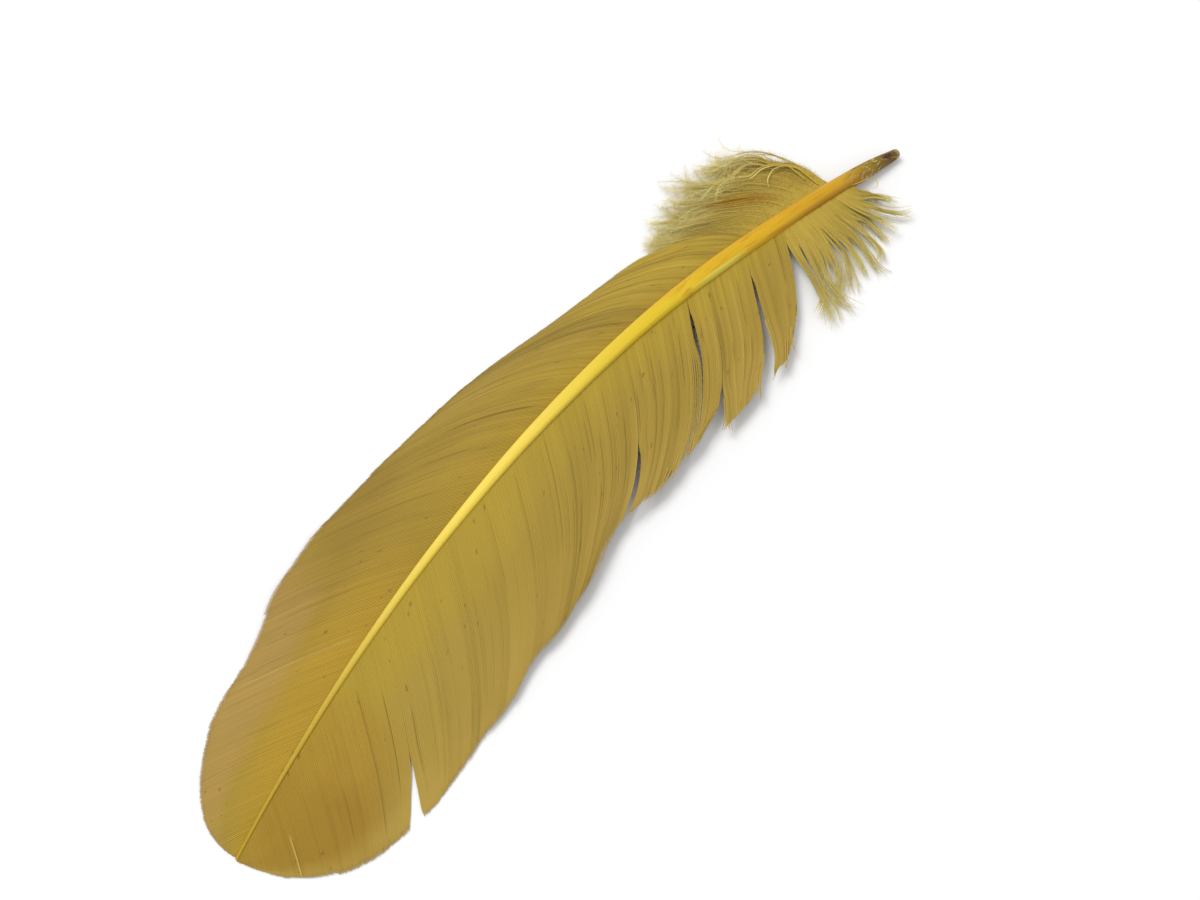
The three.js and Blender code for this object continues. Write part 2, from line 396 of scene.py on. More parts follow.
@dataclass(frozen=True)
class BarbFinish:
    """The dyed barbs: golden by the shaft, paler and browner towards the margin.

    A band is the two values between which a colour or a pattern comes or goes: shares of the way
    to the margin, stations, or the values of a noise. The depths say how strong a pattern is, and
    the hatching is painted shade: a dark line in the low web between one barb and the next.
    """

    by_shaft: Colour = srgb(166, 138, 30)
    in_middle: Colour = srgb(160, 134, 38)
    by_margin: Colour = srgb(164, 136, 54)
    # Painted shade: the dark brown laid along the dark creases, where barbs part.
    crease: Colour = srgb(62, 36, 0)
    pale: Colour = srgb(208, 182, 100)
    speck: Colour = srgb(104, 74, 28)
    tints: tuple[Tint, ...] = ()
    streaks: Grain = Grain(0.45, 1.6, 0.0, 4.0)
    clouds: Grain = Grain(0.035, 2.2, 3.0, 2.0)
    fibres: Grain = Grain(1.7, 70.0, 7.0, 1.0)
    specks: Grain = Grain(0.6, 14.0, 11.0, 0.0)
    middle_comes: Band = (0.05, 0.5)
    margin_comes: Band = (0.55, 1.0)
    margin_wander: float = 0.5
    streaks_go: Band = (90.0, 190.0)
    streaks_lost: float = 0.65
    hatch_goes: Band = (0.35, 0.9)
    hatch_lost: float = 0.6
    hatch_comes: Band = (100.0, 190.0)
    hatch_at_first: float = 0.4
    mean_web: float = 0.45
    speck_comes: Band = (0.77, 0.84)
    speck_depth: float = 0.5
    tone_depth: float = 0.05
    streak_depth: float = 0.3
    cloud_depth: float = 0.1
    fibre_depth: float = 0.06
    web_depth: float = 0.2
    roughness: float = 0.6
    fibre_roughness: float = 0.12
    web_roughness: float = 0.08
    relief: float = 0.00004
    gloss: float = 0.2

    def material(self, name: str) -> bpy.types.Material:
        """Builds the material.

        Args:
            name: its name.

        Returns:
            The material.
        """
        paint = Paint(name)
        share, station, root, web = (paint.attribute(fact) for fact in ("share", "station", "root", "web"))
        clouds = paint.grain(self.clouds, station, share)
        fibres = paint.grain(self.fibres, root, share)
        colour = paint.blend(share.ease(*self.middle_comes), self.by_shaft, self.in_middle)
        cloudy = share + clouds * self.margin_wander - self.margin_wander / 2
        colour = paint.blend(cloudy.ease(*self.margin_comes), colour, self.by_margin)
        colour = paint.tint(colour, self.tints, station, share, clouds)
        streaks = paint.grain(self.streaks, root, share) - MIDDLE
        streaks = streaks * (1.0 - station.ease(*self.streaks_go) * self.streaks_lost)
        light = 1.0 + streaks * self.streak_depth + (clouds - MIDDLE) * self.cloud_depth
        light = light + paint.attribute("tone") * self.tone_depth + (fibres - MIDDLE) * self.fibre_depth
        # Painted shade: darkening in the low web between one barb's ridge and the next.
        painted_hatch_shade = (web - self.mean_web) * self.web_depth
        painted_hatch_shade = painted_hatch_shade * (1.0 - share.ease(*self.hatch_goes) * self.hatch_lost)
        grown = station.ease(*self.hatch_comes) * (1.0 - self.hatch_at_first)
        colour = paint.dim(colour, light - painted_hatch_shade * (self.hatch_at_first + grown))
        specks = paint.grain(self.specks, root, share).ease(*self.speck_comes)
        colour = paint.blend(specks * self.speck_depth, colour, self.speck)
        colour = paint.blend(paint.attribute("pale"), colour, self.pale)
        # Painted shade along the dark creases, where barbs part.
        colour = paint.blend(paint.attribute("crease"), colour, self.crease)
        roughness = self.roughness + (fibres - MIDDLE) * self.fibre_roughness + web * self.web_roughness
        paint.finish(colour, roughness, fibres, self.relief, self.gloss)
        return paint.material


@dataclass(frozen=True)
class DownFinish:
    """The loose downy barbs: a dull yellow green that turns pale at the tips."""

    by_shaft: Colour = srgb(178, 152, 62)
    in_middle: Colour = srgb(174, 152, 70)
    at_tips: Colour = srgb(206, 194, 120)
    stain: Colour = srgb(156, 124, 44)
    tints: tuple[Tint, ...] = ()
    clouds: Grain = Grain(0.16, 2.5, 0.0, 3.0)
    fibres: Grain = Grain(2.1, 60.0, 5.0, 1.0)
    middle_comes: Band = (0.1, 0.6)
    tips_come: Band = (0.5, 1.0)
    tip_depth: float = 0.8
    stain_comes: Band = (0.5, 0.75)
    stain_depth: float = 0.35
    tone_depth: float = 0.12
    fibre_depth: float = 0.16
    roughness: float = 0.7
    relief: float = 0.00003
    gloss: float = 0.15

    def material(self, name: str) -> bpy.types.Material:
        """Builds the material.

        Args:
            name: its name.

        Returns:
            The material.
        """
        paint = Paint(name)
        share, root = paint.attribute("share"), paint.attribute("root")
        clouds = paint.grain(self.clouds, root, share)
        fibres = paint.grain(self.fibres, root, share)
        colour = paint.blend(share.ease(*self.middle_comes), self.by_shaft, self.in_middle)
        colour = paint.blend(share.ease(*self.tips_come) * self.tip_depth, colour, self.at_tips)
        colour = paint.blend(clouds.ease(*self.stain_comes) * self.stain_depth, colour, self.stain)
        colour = paint.tint(colour, self.tints, root, share, clouds)
        light = 1.0 + paint.attribute("tone") * self.tone_depth + (fibres - MIDDLE) * self.fibre_depth
        paint.finish(paint.dim(colour, light), self.roughness, fibres, self.relief, self.gloss)
        return paint.material


BLOT = srgb(70, 32, 12)
SCUFF = srgb(188, 170, 122)


@dataclass(frozen=True)
class ShaftFinish:
    """The shaft: a brown scuffed end, an orange quill and a bright yellow rachis.

    The washes read these by name: `station`; `around`, from -1 at the shaft's outer side to 1 at
    its inner one; the noises `fibres`, `pits`, `flecks` and `mottle`; `bare`, `amber` and `slant`,
    which are the station with clouds or a slant in it; `flake`, 0 on the edge of a flake of skin;
    and `blot`, 0 in the middle of the blot.
    """

    end: Colour = srgb(98, 75, 18)  # the colour under all washes
    # The washes, from the lowest one up.
    washes: tuple[Wash, ...] = (
        # The bare end.
        Wash(srgb(141, 113, 24), 1.0, (("bare", (8.0, 17.0)),)),
        # Amber.
        Wash(srgb(198, 150, 14), 1.0, (("amber", (18.0, 32.0)),)),
        # Gold.
        Wash(srgb(208, 164, 16), 1.0, (("slant", (38.0, 66.0)),)),
        # Yellow.
        Wash(srgb(216, 184, 32), 1.0, (("slant", (76.0, 108.0)),)),
        # Straw.
        Wash(srgb(229, 201, 70), 1.0, (("station", (104.0, 165.0)),)),
        # By the tip.
        Wash(srgb(174, 142, 8), 1.0, (("station", (190.0, 285.0)),)),
        # Painted shade: the quill's inner flank, turned from the light, darkened towards brown.
        Wash(
            srgb(150, 100, 18), 0.75,
            (("around", (0.4, 1.0)), ("station", (10.0, 26.0)), ("station", (64.0, 36.0))),
        ),
        # Orange flecks.
        Wash(
            srgb(190, 122, 20), 0.6,
            (("station", (24.0, 40.0)), ("station", (112.0, 92.0)), ("flecks", (0.54, 0.66))),
        ),
        # The lime stretch.
        Wash(
            srgb(208, 200, 84), 0.8,
            (
                ("station", (64.0, 76.0)), ("station", (96.0, 82.0)),
                ("around", (0.35, 0.6)), ("fibres", (0.35, 0.6)),
            ),
        ),
        # Dirt.
        Wash(srgb(84, 60, 20), 0.55, (("mottle", (0.5, 0.7)), ("station", (30.0, 14.0)))),
        # Flakes of skin.
        Wash(
            SCUFF, 0.8,
            (("flake", (0.0008, 0.0)), ("mottle", (0.4, 0.52)), ("station", (30.0, 14.0))),
        ),
        # The pale rim.
        Wash(SCUFF, 0.5, (("station", (2.0, 0.5)),)),
        # The blot.
        Wash(BLOT, 0.9, (("blot", (1.1, 0.3)),)),
        # Pits.
        Wash(
            BLOT, 0.5,
            (("pits", (0.75, 0.8)), ("station", (10.0, 26.0)), ("station", (100.0, 70.0))),
        ),
    )
    fibres: Grain = Grain(0.03, 7.0, 0.0, 4.0)  # the lines along the shaft
    patches: Grain = Grain(0.16, 1.2, 4.0, 3.0)  # the clouds in the borders between the dyes
    pits: Grain = Grain(0.6, 4.5, 9.0, 6.0)  # the fine dark pits
    flecks: Grain = Grain(0.1, 4.0, 14.0, 3.0)  # the orange flecks
    mottle: Grain = Grain(0.35, 2.6, 27.0, 5.0)  # the dirt and the wear at the end
    flakes: Grain = Grain(0.2, 1.8, 21.0, 4.0)  # the flakes of skin there
    bare_wander: float = 8.0  # how far clouds move the border of the bare end, in millimetres
    amber_wander: float = 10.0  # how far they move that of the amber
    slant: float = 14.0  # how much further the gold and the yellow come on the outer side
    slant_wander: float = 22.0  # how far clouds move their borders
    blot_at: tuple[float, float] = (5.0, 0.1)  # the blot's station and its place around the shaft
    blot_fineness: tuple[float, float] = (0.45, 1.7)  # 1 over its size each way
    blot_wander: float = 2.4  # how ragged it is
    worn: Band = (30.0, 14.0)  # the stations at which the wear is gone and at which it is full
    fibre_depth: float = 0.3  # how strongly the fibres show
    roughness: float = 0.38  # the roughness where it isn't worn
    worn_roughness: float = 0.25  # how much rougher the worn end is
    pit_roughness: float = 0.15  # how much rougher the pits are
    relief: float = 0.0001  # the depth of the relief, in metres
    fibre_relief: float = 0.6  # the share of it that comes from the fibres
    gloss: float = 0.32  # how strongly it reflects

    def material(self, name: str) -> bpy.types.Material:
        """Builds the material.

        Args:
            name: its name.

        Returns:
            The material.
        """
        paint = Paint(name)
        readings = self._readings(paint)
        fibres, pits = readings["fibres"], readings["pits"]
        colour = paint.wash(self.end, self.washes, readings)
        colour = paint.dim(colour, 1.0 + (fibres - MIDDLE) * self.fibre_depth)
        worn = readings["station"].ease(*self.worn) * self.worn_roughness
        roughness = self.roughness + worn + (pits - MIDDLE) * self.pit_roughness
        relief = fibres * self.fibre_relief + pits * (1.0 - self.fibre_relief)
        paint.finish(colour, roughness, relief, self.relief, self.gloss)
        return paint.material

    def _readings(self, paint: Paint) -> dict[str, Signal]:
        """Works out what the washes read.

        Args:
            paint: the material.

        Returns:
            The readings by name.
        """
        station, around = paint.attribute("station"), paint.attribute("around")
        readings = {"station": station, "around": around}
        for noise in ("fibres", "pits", "flecks", "mottle"):
            readings[noise] = paint.grain(getattr(self, noise), station, around)
        patches = paint.grain(self.patches, station, around)
        readings["bare"] = station + patches * self.bare_wander
        readings["amber"] = station + patches * self.amber_wander
        readings["slant"] = station + around * self.slant + (patches - MIDDLE) * self.slant_wander
        flake = paint.grain(self.flakes, station, around) - MIDDLE
        readings["flake"] = flake * flake
        along = (station - self.blot_at[0]) * self.blot_fineness[0]
        out = (around - self.blot_at[1]) * self.blot_fineness[1]
        ragged = (readings["mottle"] - MIDDLE) * self.blot_wander
        readings["blot"] = along * along + out * out + ragged
        return readings


@dataclass(frozen=True)
class FloorFinish:
    """A plain pale floor."""

    colour: Colour = (0.86, 0.86, 0.86)
    shade: Colour = (0.85, 0.85, 0.85)
    cloud_scale: float = 3.0
    roughness: float = 0.9
    relief: float = 0.0001
    gloss: float = 0.1

    def material(self, name: str) -> bpy.types.Material:
        """Builds the material.

        Args:
            name: its name.

        Returns:
            The material.
        """
        paint = Paint(name)
        cloud = paint.noise(paint.add("ShaderNodeTexCoord", output="Object"), self.cloud_scale)
        colour = paint.blend(cloud, self.colour, self.shade)
        paint.finish(colour, self.roughness, cloud, self.relief, self.gloss)
        return paint.material


# The feather's shape.


@dataclass(frozen=True)
class ShaftLine:
    """Where the shaft runs and how thick it is, and so where everything grows from."""

    length: float = 300.0  # its length along its curve
    bend_radius: float = 545.0  # the radius of the arc that it follows
    arch_height: float = 8.0  # how high its underside stands off the surface half way
    arch_start: float = 12.0  # the station at which it leaves the surface
    arch_end: float = 278.0  # the station at which it is back on it
    # The frame's origin, measured from the end of the arc's chord.
    origin: tuple[float, float] = (148.26, -11.57)
    # The height of its section past the quill, as a share of the width.
    rachis_height_share: float = 0.92
    rachis_start: float = 51.2  # the station at which the rachis begins
    width: Profile = Profile(
        (0, 4.6), (14, 5.3), (40, 6.2), (60, 6.1), (80, 5.8), (120, 4.8), (160, 3.85), (200, 2.8),
        (250, 1.75), (300, 0.75),
    )
    # How far it strays from the arc, positive towards the inner vane.
    stray: Profile = Profile(
        (60, 0), (100, 0.2), (140, 0.6), (180, 0), (220, -1.1), (250, -1.5), (280, -1.3), (300, -0.9)
    )
    stray_reach: float = 20.0  # the distance across at which nothing strays with it any more
    # The share of its height at which the vanes grow.
    vane_share: Profile = Profile((230, 0.62), (285, 0.52))

    def place(self, station: np.ndarray, across: np.ndarray, height: np.ndarray) -> np.ndarray:
        """Turns stations, distances across and heights into points in the frame.

        Args:
            station: millimetres along the shaft from the end of the quill.
            across: millimetres from the shaft, positive in the inner vane.
            height: millimetres above the surface.

        Returns:
            The points in metres, with X, Y and Z along a last axis.
        """
        half_bend = self.length / self.bend_radius / 2
        turn = np.asarray(station) / self.bend_radius - half_bend
        stray = self.stray(station) * np.maximum(1 - np.abs(across) / self.stray_reach, 0)
        radius = self.bend_radius - np.asarray(across) - stray
        x = self.bend_radius * math.sin(half_bend) + radius * np.sin(turn) - self.origin[0]
        y = self.bend_radius * math.cos(half_bend) - radius * np.cos(turn) - self.origin[1]
        return np.stack(np.broadcast_arrays(x, y, height), axis=-1) * MM

    def arch(self, station: np.ndarray) -> np.ndarray:
        """Gives the height of the shaft's underside."""
        share = (np.asarray(station) - self.arch_start) / (self.arch_end - self.arch_start)
        return self.arch_height * (1 - np.cos(2 * np.pi * np.clip(share, 0, 1))) / 2

    def height(self, station: np.ndarray) -> np.ndarray:
        """Gives the height of the shaft itself: the rachis is a little flatter than round."""
        share = np.clip(np.asarray(station) / self.rachis_start, 0, 1)
        return self.width(station) * (1 - (1 - self.rachis_height_share) * share)

    def level(self, station: np.ndarray) -> np.ndarray:
        """Gives the height at which the vanes grow from the shaft."""
        return self.arch(station) + self.vane_share(station) * self.height(station)


@dataclass
class MeshData:
    """Points, faces and the numbers that the materials read at each point."""

    points: list[np.ndarray] = field(default_factory=list)
    faces: list[np.ndarray] = field(default_factory=list)
    facts: dict[str, list[np.ndarray]] = field(default_factory=dict)
    count: int = 0

    def add(self, points: np.ndarray, faces: np.ndarray, **facts: np.ndarray | float) -> None:
        """Adds a patch.

        Args:
            points: the patch's points, one row each.
            faces: rows of point numbers within the patch.
            facts: numbers by name, one at each point or the same at all of them.
        """
        self.points.append(points)
        self.faces.append(faces + self.count)
        for name, values in facts.items():
            self.facts.setdefault(name, []).append(np.broadcast_to(values, len(points)))
        self.count += len(points)

    def add_strips(self, points: np.ndarray, **facts: np.ndarray | float) -> None:
        """Adds many strips at once.

        Args:
            points: an array of strip, step along it, rail across it, and X, Y, Z.
            facts: by name, arrays of strip, step and rail, where any of these may be left at 1.
        """
        strips, steps, rails, _ = points.shape
        index = np.arange(strips * steps * rails).reshape(strips, steps, rails)
        corners = (index[:, :-1, :-1], index[:, 1:, :-1], index[:, 1:, 1:], index[:, :-1, 1:])
        faces = np.stack([corner.ravel() for corner in corners], axis=-1)
        flat = {name: np.broadcast_to(v, (strips, steps, rails)).ravel() for name, v in facts.items()}
        self.add(points.reshape(-1, 3), faces, **flat)

    def piece(self, name: str, upward: bool = True) -> bpy.types.Object:
        """Makes the piece and ties it to the frame.

        Args:
            name: the piece's name.
            upward: whether the faces are turned to look up rather than kept as they are.

        Returns:
            The new object.
        """
        points = np.concatenate(self.points)
        faces: list[Sequence[int]] = []
        for patch in self.faces:
            if upward:
                a, b, c = (points[patch[:, k]] for k in range(3))
                down = np.cross(b - a, c - a)[:, 2] < 0
                patch[down] = patch[down][:, ::-1]
            faces.extend(patch.tolist())
        mesh = bpy.data.meshes.new(name)
        mesh.from_pydata(points.tolist(), [], faces)
        mesh.polygons.foreach_set("use_smooth", np.ones(len(faces), dtype=bool))
        for fact, values in self.facts.items():
            layer = mesh.attributes.new(fact, "FLOAT", "POINT")
            layer.data.foreach_set("value", np.concatenate(values).astype(np.float32))
        mesh.update()
        piece = bpy.data.objects.new(name, mesh)
        bpy.context.scene.collection.objects.link(piece)
        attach(piece, BODY)
        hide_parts(NODE)
        return piece


def dress(piece: bpy.types.Object, material: bpy.types.Material) -> None:
    """Gives a piece its material and reports it.

    Args:
        piece: the piece.
        material: its material.
    """
    piece.data.materials.append(material)
    size = [round(side / MM, 1) for side in piece.dimensions]
    triangles = sum(len(polygon.vertices) - 2 for polygon in piece.data.polygons)
    LOG.info("%s: %d triangles, %s mm", piece.name, triangles, size)


@dataclass
class Shaft:
    """The quill and the rachis: one tapering tube, squarer and grooved underneath past the quill."""

    line: ShaftLine
    finish: ShaftFinish = ShaftFinish()
    sides: int = 32  # the sides of each ring
    # The stations of the close rings at the blunt end.
    end_rings: tuple[float, ...] = (0.0, 0.2, 0.5, 0.9, 1.4, 2.2, 3.5)
    even_start: float = 5.0  # the station at which the evenly spaced rings begin
    step: float = 1.5  # their spacing
    # The share of the full size, by station.
    dome: Profile = Profile((0, 0.58), (0.6, 0.7), (3.0, 0.78), (8.0, 0.9), (15.0, 1.0))
    least_rise: float = 0.78  # the least share of its half height at which the middle of a ring lies
    # The power of the section, 1 where it is round and less where it is squarer.
    squareness: Profile = Profile((45, 1.0), (85, 0.66), (300, 0.6))
    groove_depth: float = 0.16  # the groove's depth as a share of the half height
    groove_width: float = 0.3  # its half width as a share of the shaft's
    groove_comes: Band = (50.0, 75.0)  # the stations between which the groove begins
    lumps: float = 0.012  # how uneven the width is
    lump_spacing: float = 6.0  # the distance from lump to lump
    pit_depth: float = 1.2  # the depth of the pit in the end
    lip_share: float = 0.55  # the pit's width as a share of the end's
    clearance: float = 0.02  # the least height above the surface
    seed: int = 5

    def build(self) -> bpy.types.Object:
        """Builds the shaft's mesh.

        Returns:
            The shaft.
        """
        rng = np.random.default_rng(self.seed)
        line = self.line
        even = np.arange(self.even_start, line.length, self.step)
        stations = np.concatenate([self.end_rings, even, [line.length]])
        turn = np.arange(self.sides) / self.sides * 2 * np.pi
        size = self.dome(stations)[:, None]
        lumps = np.arange(0, line.length + 1, self.lump_spacing)
        wobble = 1 + self.lumps * np.interp(stations, lumps, rng.normal(size=len(lumps)))[:, None]
        half_width = line.width(stations)[:, None] / 2
        half_height = line.height(stations)[:, None] / 2
        power = self.squareness(stations)[:, None]
        side = np.sign(np.cos(turn)) * np.abs(np.cos(turn)) ** power
        up = np.sign(np.sin(turn)) * np.abs(np.sin(turn)) ** power
        rachis = ease(stations, self.groove_comes)[:, None]
        groove = self.groove_depth * rachis * half_height * np.exp(-((side / self.groove_width) ** 2))
        across = half_width * size * wobble * side
        centre = half_height * np.maximum(size, self.least_rise)
        height = line.arch(stations)[:, None] + centre + half_height * size * up + groove * (up < 0)
        points = line.place(stations[:, None], across, np.maximum(height, self.clearance))
        closed = np.concatenate([points, points[:, :1]], axis=1)
        data = MeshData()
        data.add_strips(
            closed[None],
            station=stations[None, :, None],
            around=np.append(side, side[:, :1], axis=1)[None],
        )
        self._close(data, closed, stations)
        return data.piece("shaft", upward=False)

    def _close(self, data: MeshData, rings: np.ndarray, stations: np.ndarray) -> None:
        """Closes both ends, with a shallow pit in the end of the quill.

        Args:
            data: the mesh so far.
            rings: the points of each ring, the first one repeated at its end.
            stations: each ring's station.
        """
        inward = np.array(Vector(rings[1][0] - rings[0][0]).normalized())
        for end, depth in ((0, self.pit_depth), (-1, 0.0)):
            ring, station = rings[end][:-1], stations[end]
            centre = ring.mean(axis=0)
            lip = centre + (ring - centre) * self.lip_share
            points = np.concatenate([ring, lip, [centre + inward * depth * MM]])
            n = len(ring)
            now = np.arange(n)
            after = (now + 1) % n
            turn = 1 if end else -1  # the two ends face opposite ways
            edge = np.stack([now, after, after + n, now + n], axis=-1)[:, ::turn]
            fan = np.stack([now + n, after + n, np.full(n, 2 * n)], axis=-1)[:, ::turn]
            for faces in (edge, fan):
                data.add(points, faces, station=station, around=0.0)

    def dress(self, piece: bpy.types.Object) -> None:
        """Gives the shaft its finish."""
        dress(piece, self.finish.material("dyed_shaft"))


@dataclass(frozen=True)
class Split:
    """A place where barbs have come apart."""

    root: float  # the station of the barb that it follows
    near: Profile  # the station of its edge nearer the quill, by distance across
    far: Profile  # the station of its other edge
    room: float  # the length of shaft over which barbs make room for it

    @property
    def start(self) -> float:
        """The distance across at which it opens."""
        return float(self.near.at[0])


def split(root: float, room: float, *rows: tuple[float, float, float]) -> Split:
    """Makes a split from the stations of its two edges.

    Args:
        root: the station of the barb that it follows.
        room: the length of shaft over which barbs make room for it.
        rows: distances across, each with the stations of the near and the far edge.

    Returns:
        The split.
    """
    near = Profile(*[(across, station) for across, station, _ in rows])
    far = Profile(*[(across, station) for across, _, station in rows])
    return Split(root, near, far, room)


class Mark(Enum):
    """What a crease between two barbs looks like."""

    # Painted shade: a dark brown line where the barbs part.
    DARK = "crease"
    PALE = "pale"


@dataclass(frozen=True)
class Crease:
    """A line along a barb where the vane is folded or has begun to part."""

    root: float  # the barb's root station
    start: float  # where it starts, as a share of the way to the margin
    end: float  # where it ends
    strength: float  # how strong it is, 0 to 1
    mark: Mark = Mark.DARK  # what it looks like


@dataclass(frozen=True)
class Stray:
    """A few barbs that have come loose."""

    way: Points  # the points they pass, station and across
    start_height: float  # their height where they start
    end_height: float  # their height at the tip
    barbs: int = 3  # how many there are
    width: float = 0.9  # the width over which they spread

    def height(self, share: np.ndarray) -> np.ndarray:
        """Gives the height at shares of the way."""
        return self.start_height + (self.end_height - self.start_height) * share


def run_along(plan: np.ndarray) -> np.ndarray:
    """Gives how far along a row of points each one lies."""
    return np.concatenate([[0.0], np.cumsum(np.linalg.norm(np.diff(plan, axis=0), axis=1))])


def turned(ways: np.ndarray, angle: np.ndarray) -> np.ndarray:
    """Turns directions, one in each row, by an angle of their own.

    Args:
        ways: the directions, station and across.
        angle: how far each one turns, in radians.

    Returns:
        The directions after the turn.
    """
    cos, sin = np.cos(angle), np.sin(angle)
    return np.stack([ways[:, 0] * cos - ways[:, 1] * sin, ways[:, 0] * sin + ways[:, 1] * cos], axis=-1)


class Path:
    """A smooth way over the surface, through points given as station and across."""

    def __init__(self, points: Sequence[tuple[float, float]]) -> None:
        """Measures the way.

        Args:
            points: the points it passes.
        """
        plan = np.array(points, dtype=float)
        run = run_along(plan)
        self.station = Profile(*zip(run / run[-1], plan[:, 0]))
        self.across = Profile(*zip(run / run[-1], plan[:, 1]))

    def at(self, share: np.ndarray) -> np.ndarray:
        """Gives the points at shares of its length, one row each."""
        return np.stack([self.station(share), self.across(share)], axis=-1)


def directions(plan: np.ndarray) -> tuple[np.ndarray, np.ndarray]:
    """Gives the unit directions along a row of points and square to it.

    Args:
        plan: the points, one row each.

    Returns:
        The directions along it and those square to it.
    """
    along = np.gradient(plan, axis=0)
    along /= np.maximum(np.linalg.norm(along, axis=1), TINY)[:, None]
    return along, np.stack([-along[:, 1], along[:, 0]], axis=-1)


def ribbon(line: ShaftLine, plan: np.ndarray, height: np.ndarray, width: np.ndarray) -> np.ndarray:
    """Gives the points of a narrow ribbon with a raised middle.

    Args:
        line: where the shaft runs.
        plan: the middle's points, station and across.
        height: the height at each.
        width: the width at each.

    Returns:
        The points, an array of one strip, step along it, rail and X, Y, Z.
    """
    half = directions(plan)[1] * width[:, None] / 2
    rails = [(plan - half, height), (plan, height + width * RIBBON_RISE), (plan + half, height)]
    return np.stack([line.place(rail[:, 0], rail[:, 1], level) for rail, level in rails], axis=1)[None]


@dataclass(frozen=True)
class FaintCreases:
    """The many faint dark creases that chance adds to a vane, each a line of painted shade."""

    count: int = 110  # how many there are
    bias: float = 1.0  # above 1, more of them lie near the quill
    tip_room: float = 20.0  # the length of shaft by the tip that has none
    start: Band = (0.03, 0.8)  # where they start, as a share of the way to the margin
    short: Band = (0.06, 0.25)  # the lengths of the short ones, in such shares
    long: Band = (0.3, 0.8)  # the lengths of the long ones
    short_share: float = 0.5  # how many of them are short
    strength: Band = (0.3, 0.9)  # how strong they are

    def draw(self, roots: Band, unevenness: Profile, rng: np.random.Generator) -> list[Crease]:
        """Draws the creases.

        Args:
            roots: the stations of the vane's first and last barb.
            unevenness: a factor on their strength, by station.
            rng: the source of chance.

        Returns:
            The creases.
        """
        creases = []
        for _ in range(self.count):
            start = rng.uniform(*self.start)
            root = roots[0] + (roots[1] - self.tip_room - roots[0]) * rng.random() ** self.bias
            length = rng.uniform(*(self.short if rng.random() < self.short_share else self.long))
            strength = rng.uniform(*self.strength) * float(unevenness(root))
            creases.append(Crease(root, start, start + length, strength))
        return creases


@dataclass(frozen=True)
class LooseBarb:
    """The barbs of a vane's strays."""

    steps: int = 14  # the steps along each
    length: Band = (0.82, 1.0)  # how much of the stray's way they follow
    narrowing: float = 0.5  # how much closer together they are at the tip
    spread: float = 0.5  # how far their tips part by chance
    height: float = 0.1  # how much their heights differ
    width: float = 0.42  # their width at the root
    taper: float = 0.75  # how much narrower the tip is, as a share
    root: Band = (60.0, 120.0)  # the stations at which their pattern is read
    web: float = 0.2  # how much of the painted shade between barbs they show
    tone: float = 0.8  # how much their tones differ
    pale: float = 0.12  # how pale they are


